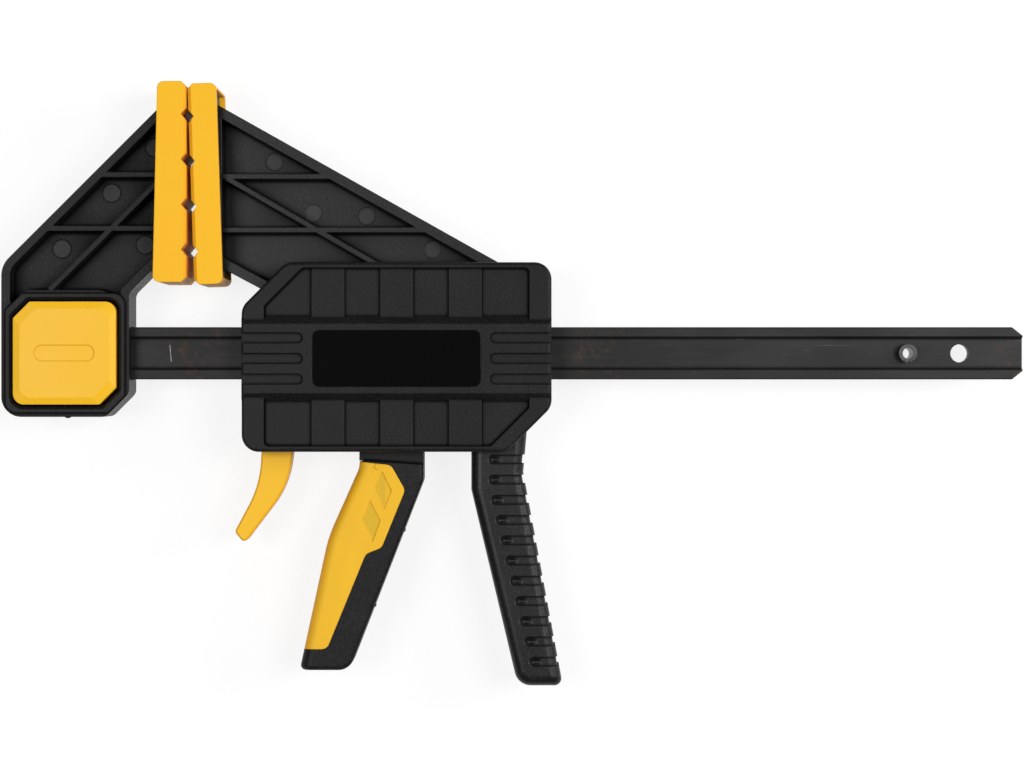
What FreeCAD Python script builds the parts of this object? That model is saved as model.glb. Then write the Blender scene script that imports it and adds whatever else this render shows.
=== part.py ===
import FreeCAD, Part
import math
import os
from types import SimpleNamespace

import Sketcher

# Quick release bar clamp, lying on its side.
# X runs along the bar to its free end, Y towards the jaw tips, Z up out of the front cover.
# The origin is the middle of the rear cover's resting face, under the bar's axis.

SIZES = {
    # steel bar
    "bar_length": 424.0,
    "bar_height": 22.5,
    "bar_thickness": 9.0,
    "bar_flange_height": 4.4,
    "bar_web_thickness": 5.0,
    "bar_root_radius": 1.0,
    "bar_edge_radius": 0.6,
    "bar_nose_length": 4.6,
    "bar_nose_height": 3.7,
    "bar_left_reach": 155.1,
    "bar_slide_fit": 0.35,
    "bar_seat_fit": 0.1,
    "stop_pin_from_end": 49.7,
    "stop_pin_radius": 4.0,
    "stop_pin_bore_radius": 2.35,
    "stop_pin_length": 15.0,
    "stop_pin_slit_width": 1.4,
    "hang_hole_from_end": 26.9,
    "hang_hole_radius": 3.9,
    "press_gap": 0.02,
    # moulded jaws
    "jaw_thickness": 24.0,
    "jaw_web_thickness": 4.0,
    "jaw_rib_thickness": 2.1,
    "jaw_nose_plate_thickness": 5.0,
    "ejector_mark_radius": 3.8,
    "ejector_mark_depth": 0.3,
    # fixed jaw
    "latch_reach": 142.1,
    "fixed_block_width": 54.6,
    "fixed_block_corner_radius": 8.6,
    "fixed_block_chamfer": 10.0,
    "fixed_block_top": 27.0,
    "fixed_block_top_radius": 9.8,
    "fixed_block_top_chamfer": 7.2,
    "fixed_shoulder_height": 37.6,
    "fixed_shoulder_radius": 10.7,
    "fixed_throat_height": 25.7,
    "fixed_throat_radius": 4.0,
    "fixed_rim_width": 3.6,
    "fixed_notch_width": 0.5,
    "fixed_notch_depth": 10.6,
    "fixed_upper_rib_height": 76.4,
    "fixed_lower_rib_height": 53.4,
    "fixed_brace_offset": 6.7,
    # pads
    "contact_reach": 89.5,
    "pad_height": 85.5,
    "pad_thickness": 39.0,
    "pad_centre_height": 72.9,
    "pad_face_thickness": 5.0,
    "pad_wall_thickness": 2.6,
    "pad_lip_depth": 12.3,
    "fixed_pad_lower_lip_depth": 14.3,
    "pad_corner_chamfer": 2.2,
    "pad_back_radius": 2.8,
    "pad_face_bevel": 1.4,
    "pad_fit": 0.1,
    "vee_pitch": 19.2,
    "vee_height": 5.5,
    "vee_depth": 2.3,
    "sliding_pad_drop": 1.1,
    "pad_tip_gap": 0.4,
    # latch of the fixed jaw
    "button_width": 44.0,
    "button_chamfer": 7.1,
    "button_corner_radius": 4.7,
    "button_chamfer_radius": 1.2,
    "button_top": 15.0,
    "button_thickness": 5.2,
    "button_crown_width": 3.0,
    "button_crown_height": 0.8,
    "button_gap": 0.8,
    "button_travel": 3.8,
    "button_mark_width": 25.6,
    "button_mark_height": 6.8,
    "button_mark_depth": 0.3,
    "button_socket_depth": 3.0,
    "collar_height": 0.8,
    "collar_width": 2.6,
    "collar_bevel": 1.2,
    "latch_floor_gap": 0.3,
    "latch_pin_radius": 4.0,
    "latch_waist_radius": 2.3,
    "latch_pin_tail": 11.0,
    "latch_pin_lead": 0.8,
    "latch_engagement": 1.0,
    "latch_pin_fit": 0.2,
    "latch_ring_radius": 6.0,
    "latch_ring_thickness": 1.0,
    "latch_ring_groove_radius": 3.2,
    "latch_ring_opening": 4.4,
    "latch_recess_radius": 7.0,
    "latch_recess_depth": 3.4,
    "latch_spring_radius": 8.0,
    "latch_spring_wire": 1.2,
    "latch_spring_pitch": 1.7,
    # sliding jaw
    "arm_end_reach": 44.5,
    "arm_heel_reach": 58.1,
    "arm_rim_width": 4.2,
    "arm_upper_rib_height": 75.6,
    "arm_lower_rib_height": 52.7,
    "arm_brace_height": 74.9,
    # covers and housing
    "cover_width": 131.8,
    "cover_height": 80.7,
    "cover_drop": 1.75,
    "cover_chamfer": 19.1,
    "cover_corner_radius": 7.3,
    "cover_depth": 8.5,
    "cover_wall": 2.4,
    "cover_edge_radius": 1.5,
    "cover_band_height": 29.5,
    "cover_band_drop": 2.4,
    "cover_band_rise": 1.5,
    "cover_band_bevel": 3.8,
    "cover_panel_sink": 1.7,
    "cover_panel_margin": 9.4,
    "cover_panel_edge": 2.3,
    "cover_panel_radius": 2.2,
    "tread_width": 14.0,
    "tread_pitch": 29.2,
    "tread_rise": 0.8,
    "tread_ledge": 1.0,
    "flute_length": 26.2,
    "flute_height": 4.6,
    "flute_pitch": 8.75,
    "flute_depth": 0.6,
    "label_width": 71.7,
    "label_height": 23.8,
    "label_corner_radius": 3.4,
    "label_thickness": 0.5,
    "label_gap": 0.1,
    "housing_inset": 0.5,
    "housing_wall": 4.5,
    "housing_rib_place": 22.5,
    "housing_rib_thickness": 4.0,
    "boss_gap": 0.3,
    # fixed grip
    "grip_front": 31.6,
    "grip_bend_depth": 58.5,
    "grip_bend_radius": 6.0,
    "grip_length": 142.6,
    "grip_toe_front": 51.6,
    "grip_toe_front_radius": 7.0,
    "grip_toe_back": 70.9,
    "grip_toe_back_radius": 3.0,
    "grip_back": 53.9,
    "grip_back_depth": 51.0,
    "grip_neck_rise": 5.2,
    "grip_neck_flare": 1.5,
    "grip_edge_radius": 4.6,
    "grip_groove_height": 4.1,
    "grip_groove_pitch": 8.66,
    "grip_groove_depth": 0.9,
    "grip_groove_start": 45.5,
    "grip_groove_inset": 7.7,
    "grip_groove_end_radius": 1.7,
    # trigger
    "trigger_pivot_left": 2.6,
    "trigger_pivot_height": 24.0,
    "trigger_pin_radius": 2.5,
    "trigger_pin_half_length": 17.4,
    "trigger_pin_fit": 0.05,
    "trigger_eye_radius": 8.0,
    "trigger_thickness": 22.0,
    "trigger_neck_thickness": 17.6,
    "trigger_fork_slot": 10.0,
    "trigger_slot_depth": 17.3,
    "trigger_lobe_reach": 13.6,
    "trigger_lobe_drop": 3.0,
    "trigger_front": 16.4,
    "trigger_back": 11.2,
    "trigger_top_depth": 46.0,
    "trigger_top_drop": 1.9,
    "trigger_neck_bend_depth": 49.0,
    "trigger_neck_bend_radius": 8.0,
    "trigger_knee_reach": 29.8,
    "trigger_knee_depth": 79.0,
    "trigger_knee_radius": 60.0,
    "trigger_tip_reach": 42.1,
    "trigger_length": 135.9,
    "trigger_heel_reach": 20.6,
    "trigger_heel_radius": 7.0,
    "trigger_back_bend_depth": 54.4,
    "trigger_back_bend_radius": 6.0,
    "trigger_front_edge_radius": 4.6,
    "trigger_back_edge_radius": 2.0,
    "trigger_lobe_radius": 1.6,
    "trigger_lobe_root_reach": 9.0,
    "trigger_lobe_root_depth": 21.5,
    "trigger_neck_depth": 31.5,
    "trigger_slot_front": 0.6,
    "trigger_slot_back": 17.8,
    "front_grip_thickness": 1.8,
    "front_grip_fit": 0.05,
    "front_grip_corner_radius": 3.6,
    "front_grip_proud": 0.2,
    "rhomb_depth": 0.3,
    # release lever
    "release_pivot_left": 50.6,
    "release_pivot_depth": 16.5,
    "release_pin_radius": 2.0,
    "release_pin_half_length": 17.2,
    "release_eye_radius": 4.6,
    "release_thickness": 12.0,
    "release_front": 57.8,
    "release_back": 44.2,
    "release_knee_front": 59.4,
    "release_knee_front_depth": 56.5,
    "release_knee_front_radius": 45.0,
    "release_knee_back": 47.2,
    "release_knee_back_depth": 57.0,
    "release_knee_back_radius": 40.0,
    "release_tip_front": 70.2,
    "release_tip_front_depth": 76.8,
    "release_tip_back": 66.0,
    "release_tip_depth": 81.8,
    "release_tip_radius": 1.8,
    "release_lobe_reach": 40.85,
    "release_lobe_depth": 26.0,
    "release_edge_radius": 2.4,
    "release_bevel": 0.7,
    "release_lobe_radius": 0.9,
    "release_slot_front": 1.6,
    "release_slot_back": 7.0,
    # drive plates, brake plates and springs
    "plate_window_fit": 0.55,
    "plate_side_fit": 0.4,
    "drive_plate_thickness": 3.5,
    "drive_plate_height": 34.0,
    "drive_plate_width": 18.0,
    "drive_plate_place": 14.0,
    "plate_gap": 0.3,
    "plate_corner_radius": 1.6,
    "brake_plate_thickness": 3.0,
    "brake_plate_width": 16.0,
    "brake_hinge_left": 35.0,
    "brake_hinge_height": 18.0,
    "brake_plate_top": 2.0,
    "brake_plate_reach": 45.0,
    "brake_seat_fit": 0.55,
    "brake_seat_wall": 2.3,
    "drive_spring_radius": 13.5,
    "drive_spring_wire": 1.8,
    "drive_spring_pitch": 4.1,
    "brake_spring_radius": 3.0,
    "brake_spring_wire": 0.9,
    "brake_spring_pitch": 1.9,
    "brake_spring_depth": 21.0,
    "spring_gap": 0.4,
    # screws of the covers
    "screw_radius": 1.5,
    "screw_head_radius": 3.1,
    "screw_head_height": 2.2,
    "screw_head_sink": 0.6,
    "screw_fit": 0.1,
    "screw_boss_radius": 4.0,
    "rib_screw_left": 15.2,
    "rib_screw_inset": 10.6,
    "top_screw_end_inset": 17.9,
    "top_screw_inset": 8.1,
    "slot_screw_left": 29.9,
    "slot_screw_inset": 7.9,
    "chamfer_screw_end_inset": 20.9,
    "chamfer_screw_inset": 10.1,
    "screw_end_cover": 1.0,
    # pieces of the housing's inside carry the pins this far round their bores
    "pin_boss_wall": 2.4,
    "overrun": 5.0,
}

ANGLES = {
    "toe_in": 1.94,
    "arm_top_slope": 29.3,
    "arm_low_slope": 28.0,
    "arm_brace_slope": 29.9,
    "brake_tilt": 3.0,
    "whole_turn": 360.0,
    "brace_slope": 45.0,
}

VEE_COUNT = 4
TREAD_COUNT = 3
FLUTE_COUNT = 3
GROOVE_COUNT = 11

# roundness of an eye's corners, as a share of its radius
EYE_ROUND_SHARE = 0.98

# roundness of the flutes' ends and of the button's mark, as a share of half their height
END_ROUND_SHARE = 0.96

# boundary of the soft front grip, as shares of the trigger's depth and height below its neck
FRONT_GRIP_SHARES = ((0.738, 0.021), (0.853, 0.14), (0.664, 0.415), (0.537, 0.445), (0.224, 0.899))

# corners of the two rhombs pressed into the front grip, as shares of the same box
RHOMB_SHARES = (
    ((0.667, 0.052), (0.743, 0.144), (0.685, 0.23), (0.608, 0.131)),
    ((0.572, 0.191), (0.653, 0.286), (0.591, 0.386), (0.51, 0.281)),
)

# ejector marks on the webs, as shares of each jaw's reach and height
FIXED_MARK_SHARES = ((-0.06, 0.40), (0.39, 0.614), (0.78, 0.788), (0.695, 0.415))
ARM_MARK_SHARES = ((0.215, 0.764), (0.35, 0.56), (0.534, 0.548), (0.762, 0.414))

TOUCH = 1e-4


class Size:
    """A length or a share, with the sheet expression that gives it."""

    def __init__(self, value, text):
        self.value = value
        self.text = text

    def join(self, sign, other, value):
        return Size(value, f"({self.text} {sign} {other.text})")

    def __add__(self, other):
        other = as_size(other)
        return self.join("+", other, self.value + other.value)

    def __sub__(self, other):
        other = as_size(other)
        return self.join("-", other, self.value - other.value)

    def __mul__(self, other):
        other = as_size(other)
        return self.join("*", other, self.value * other.value)

    def __truediv__(self, other):
        other = as_size(other)
        return self.join("/", other, self.value / other.value)

    def __neg__(self):
        return Size(-self.value, f"(-1 * {self.text})")

    __radd__ = __add__
    __rmul__ = __mul__


def as_size(number):
    """Wraps a plain count or share so that it can stand beside the sheet's sizes."""
    return number if isinstance(number, Size) else Size(float(number), repr(float(number)))


def sine(angle):
    return Size(math.sin(math.radians(angle.value)), f"sin({angle.text})")


def cosine(angle):
    return Size(math.cos(math.radians(angle.value)), f"cos({angle.text})")


def tangent(angle):
    return Size(math.tan(math.radians(angle.value)), f"tan({angle.text})")


def larger(first, second):
    return Size(max(first.value, second.value), f"max({first.text}; {second.text})")


ZERO = as_size(0)
ROOT_TWO = Size(math.sqrt(2), "sqrt(2)")

document = FreeCAD.newDocument("BarClamp")
sheet = document.addObject("Spreadsheet::Sheet", "Sizes")
for row, (alias, number) in enumerate({**SIZES, **ANGLES}.items(), start=1):
    sheet.set(f"A{row}", alias)
    sheet.set(f"B{row}", str(number))
    sheet.setAlias(f"B{row}", alias)
document.recompute()
S = SimpleNamespace(**{alias: Size(n, f"Sizes.{alias}") for alias, n in {**SIZES, **ANGLES}.items()})

HALF_JAW = S.jaw_thickness / 2
HALF_WEB = S.jaw_web_thickness / 2
RIM_LEVEL = HALF_JAW + S.cover_depth
BAND_LEVEL = RIM_LEVEL + S.cover_band_rise
PANEL_LEVEL = RIM_LEVEL - S.cover_panel_sink
INNER_LEVEL = PANEL_LEVEL - S.cover_wall
BAR_LEFT = -S.bar_left_reach
BAR_RIGHT = S.bar_length - S.bar_left_reach
LATCH_X = -S.latch_reach
NODES = []


# Sketches and features

def new_body(name):
    """Starts a body whose middle plane lies at half the clamp's thickness."""
    body = document.addObject("PartDesign::Body", name)
    body.setExpression("Placement.Base.z", BAND_LEVEL.text)
    return body


def loose_body(name):
    """Starts a body that another one takes in, so it keeps the origin."""
    return document.addObject("PartDesign::Body", name)


def node(shape):
    """Marks an object as one of the clamp's pieces, filed under its label."""
    NODES.append(shape)
    return shape


def new_sketch(body, name, plane="XY_Plane", along=ZERO, right=ZERO, up=ZERO):
    """Puts a sketch on one of the body's own planes, moved along its normal and in its plane."""
    sketch = body.newObject("Sketcher::SketchObject", name)
    support = next(item for item in body.Origin.OriginFeatures if item.Role == plane)
    sketch.AttachmentSupport = [(support, "")]
    sketch.MapMode = "FlatFace"
    for axis, shift in (("x", right), ("y", up), ("z", along)):
        sketch.setExpression(f"AttachmentOffset.Base.{axis}", shift.text)
    return sketch


def bind(sketch, rules):
    """Adds constraints in one go; the value of each that has a size follows the sheet."""
    indices = sketch.addConstraint([constraint for constraint, size in rules])
    for index, (_, size) in zip(indices, rules):
        if size is not None:
            sketch.setExpression(f"Constraints[{index}]", size.text)


def pinned(geometry, point, x, y):
    """Gives the constraints that hold a point at x and y."""
    return [
        (Sketcher.Constraint("DistanceX", -1, 1, geometry, point, x.value), x),
        (Sketcher.Constraint("DistanceY", -1, 1, geometry, point, y.value), y),
    ]


def rounding(before, corner, after, radius):
    """Works out where an arc that rounds a corner starts and ends, its centre, and its sense."""
    to_before = (before - corner).normalize()
    to_after = (after - corner).normalize()
    half = to_before.getAngle(to_after) / 2
    start = corner + to_before * (radius / math.tan(half))
    end = corner + to_after * (radius / math.tan(half))
    centre = corner + (to_before + to_after).normalize() * (radius / math.sin(half))
    left_turn = (corner - before).cross(after - corner).z > 0
    return start, end, centre, left_turn


def add_outline(sketch, corners):
    """Draws a closed outline through corners, each x, y and, where it is rounded, a radius."""
    corners = [tuple(as_size(number) for number in corner) for corner in corners]
    points = [FreeCAD.Vector(x.value, y.value, 0) for x, y, *_ in corners]
    count = len(corners)
    rounds = {}
    for i, corner in enumerate(corners):
        if len(corner) == 3:
            rounds[i] = rounding(points[i - 1], points[i], points[(i + 1) % count], corner[2].value)
    first = sketch.GeometryCount
    for i in range(count):
        following = (i + 1) % count
        start = rounds[i][1] if i in rounds else points[i]
        end = rounds[following][0] if following in rounds else points[following]
        sketch.addGeometry(Part.LineSegment(start, end), False)
    rules = []
    for i, corner in enumerate(corners):
        line_in = first + (i - 1) % count
        line_out = first + i
        if i not in rounds:
            rules.append((Sketcher.Constraint("Coincident", line_in, 2, line_out, 1), None))
            rules += pinned(line_out, 1, corner[0], corner[1])
            continue
        start, end, centre, left_turn = rounds[i]
        anchor = sketch.addGeometry(Part.Point(points[i]), True)
        rules += pinned(anchor, 1, corner[0], corner[1])
        rules.append((Sketcher.Constraint("PointOnObject", anchor, 1, line_in), None))
        rules.append((Sketcher.Constraint("PointOnObject", anchor, 1, line_out), None))
        circle = Part.Circle(centre, FreeCAD.Vector(0, 0, 1), corner[2].value)
        low, high = (start, end) if left_turn else (end, start)
        angles = [math.atan2(p.y - centre.y, p.x - centre.x) for p in (low, high)]
        arc = sketch.addGeometry(Part.ArcOfCircle(circle, angles[0], angles[1]), False)
        meets_in, meets_out = (1, 2) if left_turn else (2, 1)
        rules.append((Sketcher.Constraint("Tangent", line_in, 2, arc, meets_in), None))
        rules.append((Sketcher.Constraint("Tangent", arc, meets_out, line_out, 1), None))
        rules.append((Sketcher.Constraint("Radius", arc, corner[2].value), corner[2]))
    bind(sketch, rules)


def add_circle(sketch, x, y, radius):
    centre = FreeCAD.Vector(x.value, y.value, 0)
    circle = Part.Circle(centre, FreeCAD.Vector(0, 0, 1), radius.value)
    geometry = sketch.addGeometry(circle, False)
    rules = pinned(geometry, 3, x, y)
    rules.append((Sketcher.Constraint("Radius", geometry, radius.value), radius))
    bind(sketch, rules)


def rectangle(left, right, low, high, radius=None):
    """Gives the corners of a rectangle, all rounded alike where a radius is given."""
    corners = ((left, low), (right, low), (right, high), (left, high))
    return [corner if radius is None else (*corner, radius) for corner in corners]


def strip(x, y, length, angle, width):
    """Gives the corners of a straight rib that starts at a point and runs up at an angle."""
    along = (cosine(angle) * length, sine(angle) * length)
    aside = (sine(angle) * width / 2, cosine(angle) * width / 2)
    return [
        (x + aside[0], y - aside[1]),
        (x + along[0] + aside[0], y + along[1] - aside[1]),
        (x + along[0] - aside[0], y + along[1] + aside[1]),
        (x - aside[0], y + aside[1]),
    ]


def extrude(kind, body, name, sketch, length, both_ways=False, reverse=False):
    feature = body.newObject(f"PartDesign::{kind}", name)
    feature.Profile = sketch
    feature.setExpression("Length", length.text)
    feature.SideType = "Symmetric" if both_ways else "One side"
    feature.Reversed = reverse
    body.Tip = feature
    return feature


def pad(body, name, sketch, length, both_ways=False, reverse=False):
    return extrude("Pad", body, name, sketch, length, both_ways, reverse)


def pocket(body, name, sketch, length, both_ways=False, reverse=False):
    return extrude("Pocket", body, name, sketch, length, both_ways, reverse)


def through(body, name, sketch, span):
    """Cuts a sketch right through a span that lies evenly on both sides of it."""
    return pocket(body, name, sketch, span + S.overrun, both_ways=True)


def turned(body, name, corners, x, y):
    """Turns a profile of radius and level about an upright axis at x and y."""
    sketch = new_sketch(body, name + "_profile", "XZ_Plane", along=-y, right=x)
    add_outline(sketch, corners)
    feature = body.newObject("PartDesign::Revolution", name)
    feature.Profile = sketch
    feature.ReferenceAxis = (sketch, ["V_Axis"])
    feature.setExpression("Angle", S.whole_turn.text)
    body.Tip = feature
    return feature


def dress(kind, body, name, size, wanted):
    """Fillets or chamfers the tip's edges that a test picks."""
    document.recompute()
    base = body.Tip
    names = [f"Edge{i}" for i, edge in enumerate(base.Shape.Edges, start=1) if wanted(edge)]
    feature = body.newObject(f"PartDesign::{kind}", name)
    feature.Base = (base, names)
    feature.setExpression("Radius" if kind == "Fillet" else "Size", size.text)
    body.Tip = feature
    return feature


def on_faces(edge, level):
    """Tells whether an edge lies on the faces at a level on both sides of the middle plane."""
    heights = [vertex.Point.z for vertex in edge.Vertexes]
    return max(heights) - min(heights) < TOUCH and abs(abs(heights[0]) - level.value) < TOUCH


def is_near(edge, corners, margin):
    """Tells whether an edge's middle lies near a path of corners."""
    path = Part.makePolygon([FreeCAD.Vector(x.value, y.value, 0) for x, y, *_ in corners])
    middle = edge.valueAt((edge.FirstParameter + edge.LastParameter) / 2)
    return Part.Vertex(middle.x, middle.y, 0).distToShape(path)[0] < margin.value


def coil(body, name, sketch_place, centre, wire, pitch, length, axis):
    """Winds a round wire about one of the sketch's own axes."""
    sketch = new_sketch(body, name + "_wire", **sketch_place)
    add_circle(sketch, centre[0], centre[1], wire / 2)
    feature = body.newObject("PartDesign::AdditiveHelix", name)
    feature.Profile = sketch
    feature.ReferenceAxis = (sketch, [axis])
    feature.Mode = "pitch-height-angle"
    feature.setExpression("Pitch", pitch.text)
    feature.setExpression("Height", length.text)
    body.Tip = feature
    return feature


# Bar

def steel_bar():
    """An I section with a keyhole for the latch, a stop pin hole and a hanging hole."""
    body = new_body("steel_bar")
    top = S.bar_height / 2
    side = S.bar_thickness / 2
    web = S.bar_web_thickness / 2
    root = top - S.bar_flange_height
    section = [
        (-top, -side, S.bar_edge_radius),
        (-root, -side, S.bar_edge_radius),
        (-root, -web, S.bar_root_radius),
        (root, -web, S.bar_root_radius),
        (root, -side, S.bar_edge_radius),
        (top, -side, S.bar_edge_radius),
        (top, side, S.bar_edge_radius),
        (root, side, S.bar_edge_radius),
        (root, web, S.bar_root_radius),
        (-root, web, S.bar_root_radius),
        (-root, side, S.bar_edge_radius),
        (-top, side, S.bar_edge_radius),
    ]
    sketch = new_sketch(body, "bar_section", "YZ_Plane", along=BAR_LEFT)
    add_outline(sketch, section)
    pad(body, "bar_length", sketch, S.bar_length)
    end = BAR_RIGHT
    corners = new_sketch(body, "bar_nose_corners")
    for up in (1, -1):
        add_outline(corners, [
            (end - S.bar_nose_length, up * (top + S.overrun)),
            (end - S.bar_nose_length, up * top),
            (end, up * (top - S.bar_nose_height)),
            (end + S.overrun, up * (top - S.bar_nose_height)),
            (end + S.overrun, up * (top + S.overrun)),
        ])
    through(body, "bar_nose", corners, S.bar_thickness)
    holes = new_sketch(body, "bar_hole_circles")
    add_circle(holes, end - S.stop_pin_from_end, ZERO, S.stop_pin_radius + S.press_gap)
    add_circle(holes, end - S.hang_hole_from_end, ZERO, S.hang_hole_radius)
    add_circle(holes, LATCH_X, ZERO, S.latch_pin_radius + S.latch_pin_fit)
    through(body, "bar_holes", holes, S.bar_thickness)
    slot = new_sketch(body, "keyhole_slot")
    half_slot = S.latch_waist_radius + S.latch_pin_fit
    add_outline(slot, rectangle(BAR_LEFT - S.overrun, LATCH_X, -half_slot, half_slot))
    through(body, "keyhole", slot, S.bar_thickness)
    return node(body)


def stop_roll_pin():
    """A slit spring pin that stops the sliding jaw."""
    body = new_body("stop_roll_pin")
    place = BAR_RIGHT - S.stop_pin_from_end
    rings = new_sketch(body, "pin_rings")
    add_circle(rings, place, ZERO, S.stop_pin_radius)
    add_circle(rings, place, ZERO, S.stop_pin_bore_radius)
    pad(body, "pin_tube", rings, S.stop_pin_length, both_ways=True)
    slit = new_sketch(body, "pin_slit_lines")
    half = S.stop_pin_slit_width / 2
    add_outline(slit, rectangle(place - half, place + half, -(S.stop_pin_radius + S.overrun), ZERO))
    through(body, "pin_slit", slit, S.stop_pin_length)
    return node(body)


# Pads

def jaw_pad(label, side, lower_lip):
    """A soft cap that opens away from its contact face, which lies in its own plane x = 0."""
    body = document.addObject("PartDesign::Body", label)
    half = S.pad_height / 2
    chamfer = S.pad_corner_chamfer
    block = new_sketch(body, label + "_side")
    add_outline(block, [
        (ZERO, half - chamfer),
        (side * chamfer, half),
        (side * S.pad_lip_depth, half, S.pad_back_radius),
        (side * lower_lip, -half, S.pad_back_radius),
        (side * chamfer, -half),
        (ZERO, chamfer - half),
    ])
    pad(body, label + "_block", block, S.pad_thickness, both_ways=True)
    dress("Chamfer", body, label + "_bevel", S.pad_face_bevel,
          lambda edge: on_faces(edge, S.pad_thickness / 2) and abs(edge.CenterOfMass.x) < TOUCH)
    inside = half - S.pad_wall_thickness
    hollow = new_sketch(body, label + "_hollow_lines")
    add_outline(hollow, [
        (side * S.pad_face_thickness, -inside),
        (side * (lower_lip + S.overrun), -inside),
        (side * (lower_lip + S.overrun), inside),
        (side * S.pad_face_thickness, inside),
    ])
    pocket(body, label + "_hollow", hollow, S.pad_thickness - 2 * S.pad_wall_thickness, both_ways=True)
    vees = new_sketch(body, label + "_vee_lines")
    spread = S.vee_height / 2 * (S.vee_depth + S.overrun) / S.vee_depth
    for i in range(VEE_COUNT):
        level = (i - (VEE_COUNT - 1) / 2) * S.vee_pitch
        add_outline(vees, [
            (-side * S.overrun, level - spread),
            (side * S.vee_depth, level),
            (-side * S.overrun, level + spread),
        ])
    through(body, label + "_vees", vees, S.pad_thickness)
    body.setExpression("Placement.Base.z", BAND_LEVEL.text)
    return node(body)


def fixed_jaw_pad():
    body = jaw_pad("fixed_jaw_pad", -1, S.fixed_pad_lower_lip_depth)
    body.setExpression("Placement.Base.x", (-S.contact_reach).text)
    body.setExpression("Placement.Base.y", S.pad_centre_height.text)


def toe_point(depth, height):
    """Turns a depth behind the sliding pad's contact face and a height on it into x and y."""
    x = sliding_contact_x() + cosine(S.toe_in) * depth - sine(S.toe_in) * height
    y = sliding_pad_y() + sine(S.toe_in) * depth + cosine(S.toe_in) * height
    return x, y


def sliding_contact_x():
    return S.pad_tip_gap - S.contact_reach + S.pad_height / 2 * sine(S.toe_in)


def sliding_pad_y():
    return S.pad_centre_height - S.sliding_pad_drop


def sliding_jaw_pad():
    body = jaw_pad("sliding_jaw_pad", 1, S.pad_lip_depth)
    body.Placement = FreeCAD.Placement(FreeCAD.Vector(), FreeCAD.Vector(0, 0, 1), S.toe_in.value)
    body.setExpression("Placement.Rotation.Angle", S.toe_in.text)
    body.setExpression("Placement.Base.x", sliding_contact_x().text)
    body.setExpression("Placement.Base.y", sliding_pad_y().text)
    body.setExpression("Placement.Base.z", BAND_LEVEL.text)


# Fixed jaw and its latch

def button_outline(margin):
    """The release button's outline, widened evenly by a margin."""
    half = S.button_width / 2 + margin
    chamfer = S.button_chamfer
    blunt = S.button_chamfer_radius
    return [
        (LATCH_X - half, half - chamfer, blunt),
        (LATCH_X - half, -half, S.button_corner_radius),
        (LATCH_X + half - chamfer, -half, blunt),
        (LATCH_X + half, chamfer - half, blunt),
        (LATCH_X + half, half, S.button_corner_radius),
        (LATCH_X - half + chamfer, half, blunt),
    ]


def fixed_jaw():
    """A ribbed moulding: latch block at the bar, arm up to the nose plate that carries the pad."""
    body = new_body("fixed_jaw")
    half = S.fixed_block_width / 2
    left = LATCH_X - half
    right = LATCH_X + half
    nose = -(S.contact_reach + S.pad_face_thickness)
    chamfer = S.fixed_block_chamfer
    silhouette = new_sketch(body, "fixed_jaw_silhouette")
    add_outline(silhouette, [
        (left, -half, S.fixed_block_corner_radius),
        (right - chamfer, -half, S.fixed_throat_radius),
        (right, chamfer - half, S.fixed_throat_radius),
        (right, S.fixed_throat_height, S.fixed_throat_radius),
        (nose, S.fixed_throat_height + nose - right),
        (nose, S.fixed_shoulder_height + nose - left),
        (left, S.fixed_shoulder_height, S.fixed_shoulder_radius),
    ])
    pad(body, "fixed_jaw_slab", silhouette, S.jaw_thickness, both_ways=True)
    fixed_jaw_recesses(body, left, right, nose)
    fixed_jaw_ribs(body, left, nose)
    plate = new_sketch(body, "fixed_nose_plate_lines")
    reach = S.pad_height / 2 - S.pad_wall_thickness - S.pad_fit
    low = S.pad_centre_height - reach
    high = S.pad_centre_height + reach
    add_outline(plate, rectangle(nose - S.jaw_nose_plate_thickness, nose, low, high))
    width = S.pad_thickness - 2 * (S.pad_wall_thickness + S.pad_fit)
    pad(body, "fixed_nose_plate", plate, width, both_ways=True)
    marks = new_sketch(body, "fixed_ejector_circles", along=HALF_WEB)
    for across, up in FIXED_MARK_SHARES:
        x = LATCH_X + across * (nose - LATCH_X)
        y = up * (S.fixed_shoulder_height + nose - left)
        add_circle(marks, x, y, S.ejector_mark_radius)
    pad(body, "fixed_ejector_marks", marks, S.ejector_mark_depth)
    fixed_jaw_latch_seat(body)
    return node(body)


def fixed_jaw_recesses(body, left, right, nose):
    """Sinks both faces of the arm to its web, round the latch block's top."""
    rim = S.fixed_rim_width
    slope_rim = rim * ROOT_TWO
    inner_left = left + rim
    inner_right = right - rim
    back = nose - S.jaw_nose_plate_thickness
    top = S.fixed_block_top
    outline = [
        (inner_left, top - S.fixed_block_top_chamfer, S.button_chamfer_radius),
        (inner_left + S.fixed_block_top_chamfer, top, S.button_chamfer_radius),
        (inner_right - S.fixed_notch_width, top, S.fixed_block_top_radius),
        (inner_right - S.fixed_notch_width, top - S.fixed_notch_depth),
        (inner_right, top - S.fixed_notch_depth),
        (inner_right, S.fixed_throat_height - rim + slope_rim, S.fixed_throat_radius),
        (back, S.fixed_throat_height + back - right + slope_rim),
        (back, S.fixed_shoulder_height + back - left - slope_rim),
        (inner_left, S.fixed_shoulder_height + rim - slope_rim, S.fixed_shoulder_radius - rim),
    ]
    depth = HALF_JAW - HALF_WEB
    for side, name in ((1, "front"), (-1, "rear")):
        lines = new_sketch(body, f"fixed_{name}_recess_lines", along=side * HALF_JAW)
        add_outline(lines, outline)
        pocket(body, f"fixed_{name}_recess", lines, depth, reverse=side < 0)


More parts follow.
